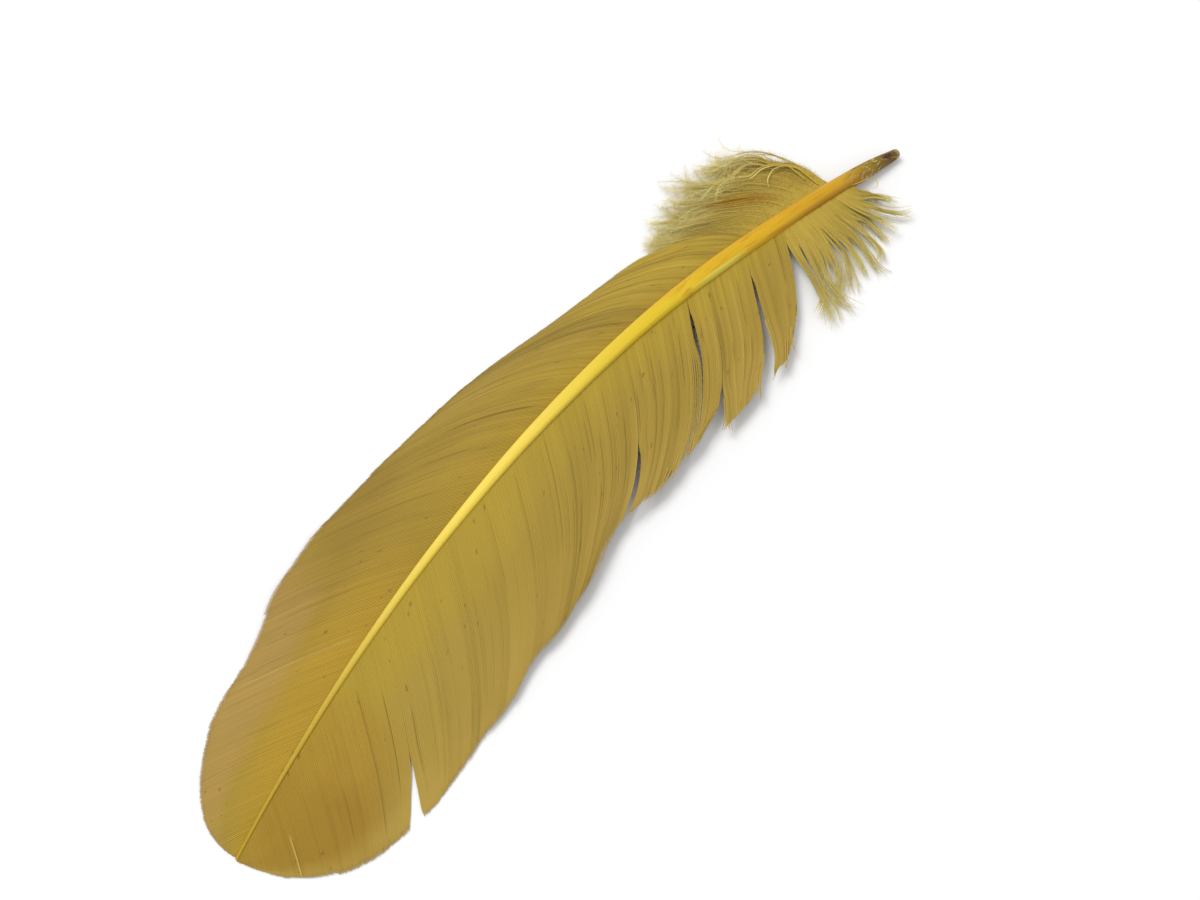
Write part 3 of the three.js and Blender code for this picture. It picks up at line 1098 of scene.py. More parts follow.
@dataclass
class Vane:
    """One vane: barbs that grow side by side from the shaft and cling to each other.

    Each barb is a ribbon of four rails, and the second one is its ridge.
    """

    name: str
    side: Side
    line: ShaftLine
    roots: Band  # the stations of the first and the last barb
    width: Profile  # the width square to the shaft, by station
    tip_start: float  # the station at which it begins to round off
    tip_end: float  # the station at which it ends
    tip_power: float  # how square the rounding is
    angle_at_shaft: Profile  # the barbs' angle to the shaft at their roots, in degrees
    angle_at_margin: Profile  # the same at the margin
    bend_power: float  # how late they bend from one angle to the other
    margin_height: Profile  # the height of the margin
    splits: Sequence[Split] = ()  # the open splits
    creases: Sequence[Crease] = ()  # the creases that have places of their own
    faint_creases: FaintCreases = FaintCreases()  # those that chance adds
    strays: Sequence[Stray] = ()  # the barbs that have come loose
    loose_barb: LooseBarb = LooseBarb()  # what they are like
    finish: BarbFinish = BarbFinish()
    pitch: float = 0.6  # the distance from root to root
    root_jitter: float = 0.02  # how much that differs
    steps: int = 26  # the steps along each barb
    droop_power: float = 1.6  # how late the sheet comes down from the shaft to the margin
    least_height: float = 0.3  # the least height of the sheet
    clearance: float = 0.1  # the least height of a point
    least_width: float = 1.0  # the least width that shares of the way to the margin are taken of
    walk_step: float = 0.3  # the step with which a barb is followed
    walk_width: float = 0.3  # the least width while it is followed
    most_steps: int = 400  # the most steps that it is followed for
    overrun: float = 1.12  # how far past the margin it is followed, as a share
    split_reach: float = 12.0  # how far past the margin a split goes on
    tail: int = 3  # how many last steps of its barb give the direction in which it does
    least_tail: float = 0.1  # the least distance across that they are taken to cover
    split_opens: float = 4.0  # the distance over which a split's near edge draws back
    # Each rail's place, in pitches from the barb's root.
    rails: Sequence[float] = (0.0, 0.32, 0.66, 1.14)
    rail_lift: Sequence[float] = (0.01, 0.1, 0.07, -0.03)  # each rail's height over the sheet
    rail_web: Sequence[float] = (0.9, 0.0, 0.2, 1.0)  # how much of the painted hatching shade each rail shows
    rail_mark: Sequence[float] = (1.0, 0.75, 0.3, 0.1)  # how much of a crease each rail shows
    lift_lost: float = 0.4  # the share of the rails' height that is gone at the margin
    end_pull: float = 0.6  # how far the rails draw together at the barb's end, as a share
    end_band: Band = (0.955, 1.0)  # the shares of the barb's length between which they do
    crease_depth: float = 0.14  # how deep a crease is
    crease_comes: float = 0.08  # the share of the way over which a crease comes
    crease_goes: float = 0.12  # the share over which it goes
    # How uneven tones and faint creases are, by station.
    unevenness: Profile = Profile((60, 1.1), (130, 0.9), (190, 0.4), (300, 0.35))
    barb_contrast: float = 1.0  # how much the barbs' tones differ
    margin_groups: int = 34  # how many groups of barbs end together
    raggedness: float = 0.02  # how much the groups' lengths differ, as a share
    barb_raggedness: float = 0.003  # how much the barbs' lengths differ in a group
    swell: float = 0.2  # the height of the waves along the margin
    swell_spacing: float = 4.6  # the distance from one wave to the next
    swell_spare: float = 20.0  # how far past the tip they go on
    swell_comes: Band = (0.0, 0.625)  # the shares of a barb's length between which they rise
    full_swell: float = 1.0  # the margin's height from which on they are full
    seed: int = 1

    def width_at(self, station: np.ndarray) -> np.ndarray:
        """Gives the vane's width square to the shaft."""
        share = np.clip((station - self.tip_start) / (self.tip_end - self.tip_start), 0, 1)
        return self.width(station) * (1 - share**self.tip_power) ** (1 / self.tip_power)

    def sheet_height(self, station: np.ndarray, share: np.ndarray) -> np.ndarray:
        """Gives the height of the vane's sheet.

        Args:
            station: the stations.
            share: the shares of the way to the margin.

        Returns:
            The heights.
        """
        level = self.line.level(np.minimum(station, self.line.length))
        drop = (self.margin_height(station) - level) * np.clip(share, 0, 1) ** self.droop_power
        return np.maximum(level + drop, self.least_height)

    def walk(self, roots: np.ndarray) -> tuple[np.ndarray, np.ndarray]:
        """Follows each barb from the shaft to a little past the margin.

        Args:
            roots: the barbs' root stations.

        Returns:
            Stations and distances from the shaft, each an array of barb and step.
        """
        start = np.radians(self.angle_at_shaft(roots))
        end = np.radians(self.angle_at_margin(roots))
        station, across = roots.astype(float), np.zeros(len(roots))
        stations, distances = [station], [across]
        share = np.zeros(len(roots))
        while (share < self.overrun).any() and len(stations) < self.most_steps:
            angle = start + (end - start) * np.clip(share, 0, 1) ** self.bend_power
            stretch = 1 - self.side.value * across / self.line.bend_radius
            going = share < self.overrun
            station = station + going * self.walk_step * np.cos(angle) / stretch
            across = across + going * self.walk_step * np.sin(angle)
            share = across / np.maximum(self.width_at(station), self.walk_width)
            stations.append(station)
            distances.append(across)
        return np.stack(stations, axis=1), np.stack(distances, axis=1)

    def make_room(self, roots: np.ndarray, stations: np.ndarray, distances: np.ndarray) -> np.ndarray:
        """Moves the barbs beside each split apart.

        Args:
            roots: the barbs' root stations.
            stations: the stations along each barb.
            distances: the distances from the shaft along each barb.

        Returns:
            The stations after the move.
        """
        moved = stations.copy()
        for gap in self.splits:
            middle, reach = (row[0] for row in self.walk(np.array([gap.root])))
            rise = middle[-1] - middle[-1 - self.tail]
            slope = rise / max(reach[-1] - reach[-1 - self.tail], self.least_tail)
            middle = np.append(middle, middle[-1] + self.split_reach * slope)
            reach = np.append(reach, reach[-1] + self.split_reach)
            along = np.maximum(distances, gap.start)
            fade = smooth(distances / gap.start)
            opened = smooth((distances - gap.start) / self.split_opens)
            share = 1 - smooth(np.abs(roots - gap.root) / gap.room)
            for edge, chosen, barb_width in (
                (gap.near, roots < gap.root, self.pitch * self.rails[-1]),
                (gap.far, roots >= gap.root, 0.0),
            ):
                shift = (edge(along) - np.interp(along, reach, middle)) * fade - barb_width * opened
                moved += (chosen * share)[:, None] * shift
        return moved

    def _marks(self, creases: Sequence[Crease], roots: np.ndarray, share: np.ndarray) -> np.ndarray:
        """Gives how strongly each point carries one of the creases.

        Args:
            creases: the creases.
            roots: the barbs' root stations.
            share: the share of the way to the margin, by barb and step.

        Returns:
            The strength, an array of barb, step and rail.
        """
        total = np.zeros(share.shape)
        for crease in creases:
            beside = np.clip(1.0 - np.abs(roots - crease.root) / self.pitch, 0, 1)[:, None]
            come = smooth((share - crease.start) / self.crease_comes)
            gone = smooth((crease.end - share) / self.crease_goes)
            total = np.maximum(total, beside * (come * gone) * crease.strength)
        return total[:, :, None] * np.array(self.rail_mark)

    def build(self) -> bpy.types.Object:
        """Builds the vane, barb by barb.

        Returns:
            The vane.
        """
        rng = np.random.default_rng(self.seed)
        count = int((self.roots[1] - self.roots[0]) / self.pitch)
        roots = np.linspace(*self.roots, count) + rng.normal(0, self.root_jitter, count)
        reach = self._reach(roots, rng)
        rails = [self._rail(roots, offset * self.pitch, reach) for offset in self.rails]
        station, across = (np.stack(tracks, axis=-1) for tracks in zip(*rails))
        along = np.linspace(0, 1, self.steps + 1)[None, :, None]
        for track in (station, across):
            track += (track[:, :, RIDGE, None] - track) * self.end_pull * ease(along, self.end_band)
        share = across / np.maximum(self.width_at(station), self.least_width)
        knots = np.arange(0, self.line.length + self.swell_spare, self.swell_spacing)
        swell = np.interp(roots, knots, rng.normal(0, 1, len(knots)))[:, None, None]
        tone = rng.normal(0, self.barb_contrast, count)[:, None, None] + swell
        own = {mark: [crease for crease in self.creases if crease.mark is mark] for mark in Mark}
        own[Mark.DARK] += self.faint_creases.draw(self.roots, self.unevenness, rng)
        # dark: the strength of the painted crease shade at each point.
        dark, pale = (self._marks(own[mark], roots, share[:, :, RIDGE]) for mark in Mark)
        lift = np.array(self.rail_lift) * (1 - self.lift_lost * along)
        wave = self.swell * swell * ease(along, self.swell_comes)
        height = self.sheet_height(station, share) + lift + self.crease_depth * (pale - dark)
        height += wave * np.minimum(self.margin_height(station) / self.full_swell, 1.0)
        data = MeshData()
        data.add_strips(
            self.line.place(station, self.side.value * across, np.maximum(height, self.clearance)),
            share=np.clip(share, 0, 1),
            station=station,
            root=roots[:, None, None],
            web=np.array(self.rail_web),
            tone=tone * self.unevenness(roots)[:, None, None],
            crease=dark,
            pale=pale,
        )
        for stray in self.strays:
            self._add_stray(data, stray, rng)
        return data.piece(self.name)

    def _reach(self, roots: np.ndarray, rng: np.random.Generator) -> np.ndarray:
        """Gives each barb's length as a share of the way to the margin, stepped from group to group.

        Args:
            roots: the barbs' root stations.
            rng: the source of chance.

        Returns:
            One share for each barb.
        """
        borders = np.sort(rng.uniform(*self.roots, self.margin_groups - 1))
        shares = 1 + self.raggedness * rng.uniform(-0.5, 0.5, self.margin_groups)
        shorter = np.abs(rng.normal(0, self.barb_raggedness, len(roots)))
        return shares[np.searchsorted(borders, roots)] - shorter

    def _add_stray(self, data: MeshData, stray: Stray, rng: np.random.Generator) -> None:
        """Adds the loose barbs of one stray.

        Args:
            data: the mesh so far.
            stray: the stray.
            rng: the source of chance.
        """
        path = Path(stray.way)
        like = self.loose_barb
        for place in np.linspace(-0.5, 0.5, stray.barbs):
            t = np.linspace(0, rng.uniform(*like.length), like.steps + 1)
            plan = path.at(t)
            spread = place * stray.width * (1 - like.narrowing * t + rng.normal(0, like.spread) * t**3)
            plan = plan + directions(plan)[1] * spread[:, None]
            height = stray.height(t) + rng.normal(0, like.height)
            data.add_strips(
                ribbon(self.line, plan, height, like.width * (1 - like.taper * t**2)),
                share=1.0,
                station=plan[None, :, :1],
                root=rng.uniform(*like.root),
                web=like.web,
                tone=rng.normal(0, like.tone),
                crease=0.0,
                pale=like.pale,
            )

    def _rail(self, roots: np.ndarray, offset: float, reach: np.ndarray) -> tuple[np.ndarray, np.ndarray]:
        """Follows one rail of every barb's ribbon to the margin.

        Args:
            roots: the barbs' root stations.
            offset: how far along the shaft the rail starts from its barb's root.
            reach: each barb's length as a share of the way to the margin.

        Returns:
            Stations and distances from the shaft, each an array of barb and step.
        """
        stations, distances = self.walk(roots + offset)
        stations = self.make_room(roots, stations, distances)
        outside = distances >= self.width_at(stations)
        outside[:, 0] = False
        outside[:, -1] = True
        ends = outside.argmax(axis=1) * reach
        at = np.linspace(0, 1, self.steps + 1)[None, :] * ends[:, None]
        at = np.clip(at, 0, stations.shape[1] - 1 - END_SLACK)
        before = at.astype(int)
        part = at - before
        rows = np.arange(len(roots))[:, None]

        def resample(track: np.ndarray) -> np.ndarray:
            """Reads a track at evenly spaced places up to each barb's end."""
            return track[rows, before] * (1 - part) + track[rows, before + 1] * part

        return resample(stations), resample(distances)

    def dress(self, piece: bpy.types.Object) -> None:
        """Gives the vane its finish."""
        dress(piece, self.finish.material("dyed_" + self.name))


@dataclass(frozen=True)
class Lock:
    """A lock of downy barbs."""

    root: float  # its root station
    way: Points  # the points it passes, station and across
    top: float  # the height of its tip
    part: float  # the share of its length at which it parts from the next lock
    fuzz: float = 1.0  # how downy it is, 0 to 1

    def path(self) -> Path:
        """Gives its way, from the shaft to its tip."""
        return Path([(self.root, 0.0), *self.way])


@dataclass(frozen=True)
class Barbules:
    """The fine blades on both sides of a downy barb."""

    start: float = 0.2  # the share of the barb's length at which they begin
    start_spread: Band = (0.2, 1.8)  # how much that differs, as factors
    pitch: float = 0.5  # the distance from one to the next
    jitter: float = 0.12  # how much that differs
    length: float = 1.3  # their length on a fully downy barb
    length_lost: float = 0.35  # the share of it that is gone at the barb's tip
    length_spread: Band = (0.4, 1.1)  # how much it differs, as factors
    width: float = 0.08  # their width at the foot
    splay: Band = (16, 48)  # their angles to the barb, in degrees
    rise: float = 0.25  # how far their tips stray up or down
    clearance: float = 0.1  # the least height of their tips
    tone: float = 0.8  # the share of their barb's tone that they take


@dataclass
class Down:
    """A tuft of loose locks, each made of fine barbs with barbules along both sides.

    Near the shaft the barbs lie side by side as a web; further out each keeps to its own lock,
    and there to its own wisp. How far something strays is meant at the barb's tip.
    """

    name: str
    line: ShaftLine
    locks: Sequence[Lock]  # from one end of the tuft to the other
    curls: Sequence[Stray] = ()  # a few barbs that curl away by themselves
    finish: DownFinish = DownFinish()
    barbules: Barbules = Barbules()
    barbs_per_lock: int = 24  # the barbs in each lock
    steps: int = 24  # the steps along each barb
    # The barbs' width, by share of their length.
    width: Profile = Profile((0, 0.4), (0.4, 0.3), (0.8, 0.14), (1, 0.05))
    # The width of a lock, by share of its length.
    lock_width: Profile = Profile((0, 3.0), (0.5, 2.2), (1, 0.9))
    wisps: float = 2.5  # the wisps in each half of a lock
    gather: float = 0.8  # how far the barbs draw together in their wisps, as a share
    gather_lead: float = -0.1  # how much before its part a lock's barbs begin to
    gather_over: float = 0.3  # the share of the length over which they do
    part_over: float = 0.2  # the share of the length over which a lock leaves the web
    edge_room: float = 1.5  # how far the web goes beside the first and the last lock
    edge_part: float = 0.3  # the share of the length at which those part from it
    root_spread: float = 1.5  # how far from the lock's root its barbs' colours are read
    place_jitter: float = 0.04  # how much the barbs' places differ from lock to lock
    shortest: float = 0.66  # the shortest barb, as a share of its lock's length
    length_power: float = 0.6  # below 1, more barbs are nearly full length
    sway: float = 0.9  # how far the wisps stray
    sway_power: float = 2.2  # how late along the barb they do
    stray: float = 0.5  # how far single barbs stray
    stray_power: float = 3  # how late they do
    crimp: float = 0.2  # how far they wave
    crimp_waves: Band = (6, 14)  # how many radians of waves they have
    hook: float = 0.6  # how far the very tips stray
    hook_power: float = 7  # how late they do
    unruly: float = 0.08  # the share of barbs that stray further
    unruly_sway: float = 2.6  # how far those do
    unruly_power: float = 2.5  # how late
    wildness: float = 1.0  # a factor on all of that
    tip_bend: float = 0.15  # how far the tips bend round, in radians
    bend_start: float = 0.75  # the share of the length from which they do
    layer: float = 0.4  # how much the locks' heights differ
    level_jitter: float = 0.02  # how much the roots' heights differ
    top_jitter: float = 0.4  # how much the tips' heights differ
    wave: float = 0.5  # the height of a barb's waves
    waves: Band = (2, 6)  # how many radians of them there are
    wave_spread: Band = (-0.4, 1.0)  # how much their height differs, as factors
    rise_power: float = 1.2  # how late a barb goes from the root's height to the tip's
    least_top: float = 0.3  # the least height of a tip
    least_height: float = 0.25  # the least height of a barb
    tone: float = 0.7  # how much the barbs' tones differ
    root_tone: float = 0.25  # the share of its tone that a barb has at its root
    curl_length: Band = (0.85, 1.0)  # how much of a curl's way its barbs follow
    curl_tone: float = 0.6  # how light they are
    curl_fuzz: float = 0.35  # how downy they are
    seed: int = 3

    def _plan(
        self, paths: Sequence[Path], which: int, place: float, sway: np.ndarray, rng: np.random.Generator
    ) -> np.ndarray:
        """Lays out one barb.

        Args:
            paths: the locks' ways.
            which: the number of the barb's lock.
            place: where in its lock the barb grows, -1 towards the lock before and 1 towards the next.
            sway: how far each wisp of the lock strays at its tip.
            rng: the source of chance.

        Returns:
            The barb's points, station and across.
        """
        t = np.linspace(0, rng.uniform(self.shortest, 1.0) ** self.length_power, self.steps + 1)
        own = paths[which].at(t)
        square = directions(own)[1] * self._towards_next(paths, which)
        other = which + (1 if place > 0 else -1)
        if 0 <= other < len(paths):
            web = own + (paths[other].at(t) - own) * abs(place) / 2
            part = self.locks[min(which, other)].part
        else:
            web = own + square * place * self.edge_room
            part = self.edge_part
        wisp = round(place * self.wisps)
        gathered = self.gather * smooth((t - part + self.gather_lead) / self.gather_over)
        lock_place = place + (wisp / self.wisps - place) * gathered
        lock = own + square * (lock_place * self.lock_width(t) / 2)[:, None]
        loose = smooth((t - part) / self.part_over)[:, None]
        plan = web * (1 - loose) + lock * loose
        return self._bend_tip(plan + square * self._swing(t, sway[wisp], rng)[:, None], rng)

    def _swing(self, t: np.ndarray, sway: float, rng: np.random.Generator) -> np.ndarray:
        """Gives how far one barb strays from its place.

        Args:
            t: the shares of the lock's length.
            sway: how far its wisp strays.
            rng: the source of chance.

        Returns:
            The distance towards the next lock, at each share.
        """
        swing = sway * t**self.sway_power + rng.normal(0, self.stray) * t**self.stray_power
        swing = swing + self.crimp * rng.normal() * np.sin(t * rng.uniform(*self.crimp_waves)) * t
        swing = swing + rng.normal(0, self.hook) * t**self.hook_power
        if rng.random() < self.unruly:
            swing = swing + rng.normal(0, self.unruly_sway) * t**self.unruly_power
        return swing * self.wildness

    def _bend_tip(self, plan: np.ndarray, rng: np.random.Generator) -> np.ndarray:
        """Bends a barb's tip round, one way or the other.

        Args:
            plan: the barb's points, station and across.
            rng: the source of chance.

        Returns:
            The points after the bend.
        """
        t = np.linspace(0, 1, len(plan) - 1)
        angle = rng.normal(0, self.tip_bend) * ease(t, (self.bend_start, 1.0))
        steps = turned(np.diff(plan, axis=0), angle)
        return np.concatenate([plan[:1], plan[0] + np.cumsum(steps, axis=0)])

    @staticmethod
    def _towards_next(paths: Sequence[Path], which: int) -> float:
        """Tells on which side of a lock the next one lies: 1 where the square direction points to it."""
        last = len(paths) - 1
        first, second = (which, which + 1) if which < last else (last - 1, last)
        middle = np.array([0.49, 0.5, 0.51])  # three places, so that there is a direction at half way
        square = directions(paths[first].at(middle))[1][1]
        return 1.0 if (paths[second].at(middle)[1] - paths[first].at(middle)[1]) @ square > 0 else -1.0

    def build(self) -> bpy.types.Object:
        """Builds the tuft.

        Returns:
            The tuft.
        """
        rng = np.random.default_rng(self.seed)
        data = MeshData()
        paths = [lock.path() for lock in self.locks]
        for which, lock in enumerate(self.locks):
            layer = rng.normal(0, self.layer)
            sway = rng.normal(0, self.sway, 2 * math.ceil(self.wisps) + 3)
            places = np.linspace(-1, 1, self.barbs_per_lock, endpoint=False)
            for place in places + rng.normal(0, self.place_jitter):
                plan = self._plan(paths, which, float(place), sway, rng)
                height = self._height(lock.root, lock.top, layer, rng)
                root = lock.root + place * self.root_spread
                self._add_barb(data, plan, height, root, rng.normal(0, self.tone), lock.fuzz, rng)
        for curl in self.curls:
            path = Path(curl.way)
            for _ in range(curl.barbs):
                t = np.linspace(0, rng.uniform(*self.curl_length), self.steps + 1)
                plan = path.at(t)
                plan = plan + directions(plan)[1] * (rng.normal(0, curl.width / 2) * t)[:, None]
                tone = rng.normal(self.curl_tone, self.tone)
                self._add_barb(data, plan, curl.height(t), plan[0, 0], tone, self.curl_fuzz, rng)
        return data.piece(self.name)

    def _height(self, root: float, top: float, layer: float, rng: np.random.Generator) -> np.ndarray:
        """Gives the heights along one barb.

        Args:
            root: its lock's root station.
            top: the height of its lock's tip.
            layer: how much higher than that its lock lies.
            rng: the source of chance.

        Returns:
            The height at each step.
        """
        t = np.linspace(0, 1, self.steps + 1)
        level = float(self.line.level(root)) + rng.normal(0, self.level_jitter)
        end = max(top + layer + rng.normal(0, self.top_jitter), self.least_top)
        wave = self.wave * t * np.sin(t * rng.uniform(*self.waves)) * rng.uniform(*self.wave_spread)
        straight = level + (top - level) * t**self.rise_power
        return np.maximum(straight + (end - top) * t**2 + wave * self.wildness, self.least_height)

    def _add_barb(
        self,
        data: MeshData,
        plan: np.ndarray,
        height: np.ndarray,
        root: float,
        tone: float,
        fuzz: float,
        rng: np.random.Generator,
    ) -> None:
        """Adds a barb: its own ribbon, and barbules as fine blades on both sides.

        Args:
            data: the mesh so far.
            plan: the barb's points, station and across.
            height: their heights.
            root: the station that its colour is read at.
            tone: how light this barb is.
            fuzz: how long its barbules are, as a share of full downy ones.
            rng: the source of chance.
        """
        t = np.linspace(0, 1, len(plan))
        tones = tone * (self.root_tone + (1 - self.root_tone) * t)
        strip = ribbon(self.line, plan, height, self.width(t))
        data.add_strips(strip, share=t[None, :, None], tone=tones[None, :, None], root=root)
        like = self.barbules
        run = run_along(plan)
        first = like.start * rng.uniform(*like.start_spread)
        spots = np.arange(first * run[-1], run[-1], like.pitch)
        sides = np.tile([-1.0, 1.0], len(spots))
        spots = np.repeat(spots, 2) + rng.normal(0, like.jitter, 2 * len(spots))
        along, _ = directions(plan)
        tracks = [np.interp(spots, run, track) for track in (*plan.T, *along.T)]
        foot, way = np.stack(tracks[:2], axis=-1), np.stack(tracks[2:], axis=-1)
        level = np.interp(spots, run, height)
        share = np.clip(spots / run[-1], 0, 1)
        splay = np.radians(rng.uniform(*like.splay, len(spots))) * sides
        length = like.length * fuzz * (1 - like.length_lost * share)
        length = length * rng.uniform(*like.length_spread, len(spots))
        end = foot + turned(way, splay) * length[:, None]
        half = way * like.width / 2
        stray = rng.normal(0.0, like.rise, len(spots)) * self.wildness
        corners = [
            (foot - half, level), (foot + half, level), (end, np.maximum(level + stray, like.clearance))
        ]
        blades = np.stack([self.line.place(*corner.T, z) for corner, z in corners], axis=1)
        faces = np.arange(3 * len(spots)).reshape(-1, 3)
        data.add(blades.reshape(-1, 3), faces, share=np.repeat(share, 3), tone=tone * like.tone, root=root)

    def dress(self, piece: bpy.types.Object) -> None:
        """Gives the tuft its finish."""
        dress(piece, self.finish.material("dyed_" + self.name))


LINE = ShaftLine()

INNER_VANE = Vane(
    name="inner_vane",
    side=Side.INNER,
    line=LINE,
    roots=(51.2, 299.0),
    width=Profile(
        (62, 23.5), (71, 27.2), (80, 33), (88, 36.7), (98, 37.6), (118, 39.2), (129, 36.9), (150, 37.9),
        (167, 36), (185, 39.9), (205, 40.8), (217, 39.7), (230, 40.8), (245, 39.6), (262, 39.7),
        (300, 39.7),
    ),
    tip_start=235.0,
    tip_end=300.2,
    tip_power=2.6,
    angle_at_shaft=Profile((50, 60), (66, 57), (90, 53), (150, 54), (250, 45), (290, 46), (299, 14)),
    angle_at_margin=Profile(
        (50, 46), (66, 40), (76, 32), (100, 22), (120, 14), (150, 17), (220, 27), (265, 35), (290, 42),
        (299, 12),
    ),
    bend_power=2.3,
    margin_height=Profile((50, 3), (110, 4.2), (170, 4.5), (225, 2), (262, 0.2), (300, 0.2)),
    splits=(
        split(
            67.0, 16.0,
            (8.8, 72.6, 72.8), (16.7, 77.9, 78.6), (21.5, 80.9, 82.1), (26, 84, 85.8),
            (30.9, 87.1, 91.1), (34.6, 90.5, 97.4), (38.8, 96.3, 103), (44, 102, 110),
        ),
        split(
            84.5, 16.0,
            (29.7, 108.8, 109.1), (31.8, 111.2, 112.6), (34, 113.3, 116.1), (35.2, 114.6, 120.9),
            (36.7, 116.3, 127.6), (40.6, 120.2, 135), (44, 123, 139),
        ),
        split(
            93.3, 3.0,
            (5.9, 97.7, 97.9), (10.1, 100.9, 101.6), (15, 104.7, 105.6), (20.4, 109.2, 109.4),
            (44, 140, 140.1),
        ),
        split(
            120.5, 9.0,
            (25, 142.9, 143.1), (27.6, 145.7, 146.7), (31.4, 151.2, 153.2), (33.3, 154.8, 157.4),
            (34.7, 158.3, 161.1), (35.6, 161.8, 164.1), (36.6, 166.4, 167),
        ),
        split(
            229.0, 16.0,
            (24.6, 255.8, 256), (28.2, 260.4, 261.2), (30.4, 263, 265.4), (33, 266.1, 270.3),
            (34.4, 267.9, 273.4), (38, 271.6, 279), (44, 277.6, 287),
        ),
    ),
    # The dark creases are painted shade where barbs part.
    creases=(
        Crease(75.5, 0.15, 0.85, 0.4, Mark.PALE),
        Crease(84.0, 0.1, 0.8, 0.8),
        Crease(86.0, 0.3, 0.78, 0.35, Mark.PALE),
        Crease(102.0, 0.1, 0.9, 0.5),
        Crease(112.0, 0.2, 0.95, 0.5),
        Crease(119.8, 0.35, 0.66, 0.8),
        Crease(121.2, 0.4, 0.95, 0.6, Mark.PALE),
        Crease(133.0, 0.15, 0.9, 0.5),
        Crease(150.0, 0.3, 1.0, 0.5),
        Crease(171.0, 0.1, 0.7, 0.45),
        Crease(196.0, 0.35, 0.9, 0.45),
        Crease(225.5, 0.45, 0.85, 0.8),
        Crease(234.6, 0.25, 0.8, 0.8),
        Crease(243.5, 0.1, 0.95, 0.9),
        Crease(257.5, 0.4, 0.8, 0.6),
        Crease(279.6, 0.35, 1.0, 0.6),
        Crease(280.3, 0.3, 1.0, 0.9, Mark.PALE),
    ),
    strays=(
        Stray(((81.9, 23.6), (85.2, 29.2), (89.4, 34.4), (92.2, 36.8), (96.9, 38.9)), 6.0, 3.4, 3, 1.1),
        Stray(((82.0, 32.0), (86.4, 36.1), (90.4, 39.2)), 4.4, 3.6, 2, 0.7),
        Stray(((77.5, 30.0), (80.7, 33.2), (83.2, 36.7)), 4.4, 3.6, 2, 0.5),
        Stray(((92.0, 31.0), (95.9, 33.8), (99.7, 36.4), (104.7, 41.0)), 5.0, 3.6, 3, 0.9),
        Stray(((94.1, 31.0), (98.2, 34.4), (101.6, 36.6)), 4.8, 3.8, 2, 0.6),
        Stray(((101.0, 33.0), (105.4, 36.4), (109.7, 39.9)), 4.8, 3.8, 2, 0.6),
        Stray(((110.0, 31.7), (115.4, 36.6), (120.3, 41.3)), 5.0, 3.8, 4, 1.4),
        Stray(((112.3, 33.4), (116.6, 37.1), (121.3, 40.0)), 5.0, 3.6, 3, 1.0),
        Stray(((128.0, 34.2), (136.8, 38.3)), 5.0, 4.4, 2, 0.8),
        Stray(((137.0, 35.6), (146.0, 38.8)), 5.0, 4.4, 2, 0.8),
        Stray(((143.0, 36.2), (150.6, 38.6)), 5.0, 4.4, 2, 0.8),
    ),
    finish=BarbFinish(
        by_shaft=srgb(166, 140, 44),
        in_middle=srgb(158, 132, 50),
        by_margin=srgb(165, 138, 60),
        tints=(
            Tint(286.0, 0.35, 22.0, 0.6, srgb(148, 114, 30), 0.9),
            Tint(262.0, 0.3, 14.0, 0.4, srgb(160, 124, 36), 0.6),
            Tint(205.0, 0.2, 50.0, 0.25, srgb(165, 139, 47), 0.7),
            Tint(235.0, 0.6, 26.0, 0.3, srgb(161, 136, 57), 0.6),
        ),
        tone_depth=0.04,
        streak_depth=0.17,
        web_depth=0.1,
    ),
    seed=11,
)

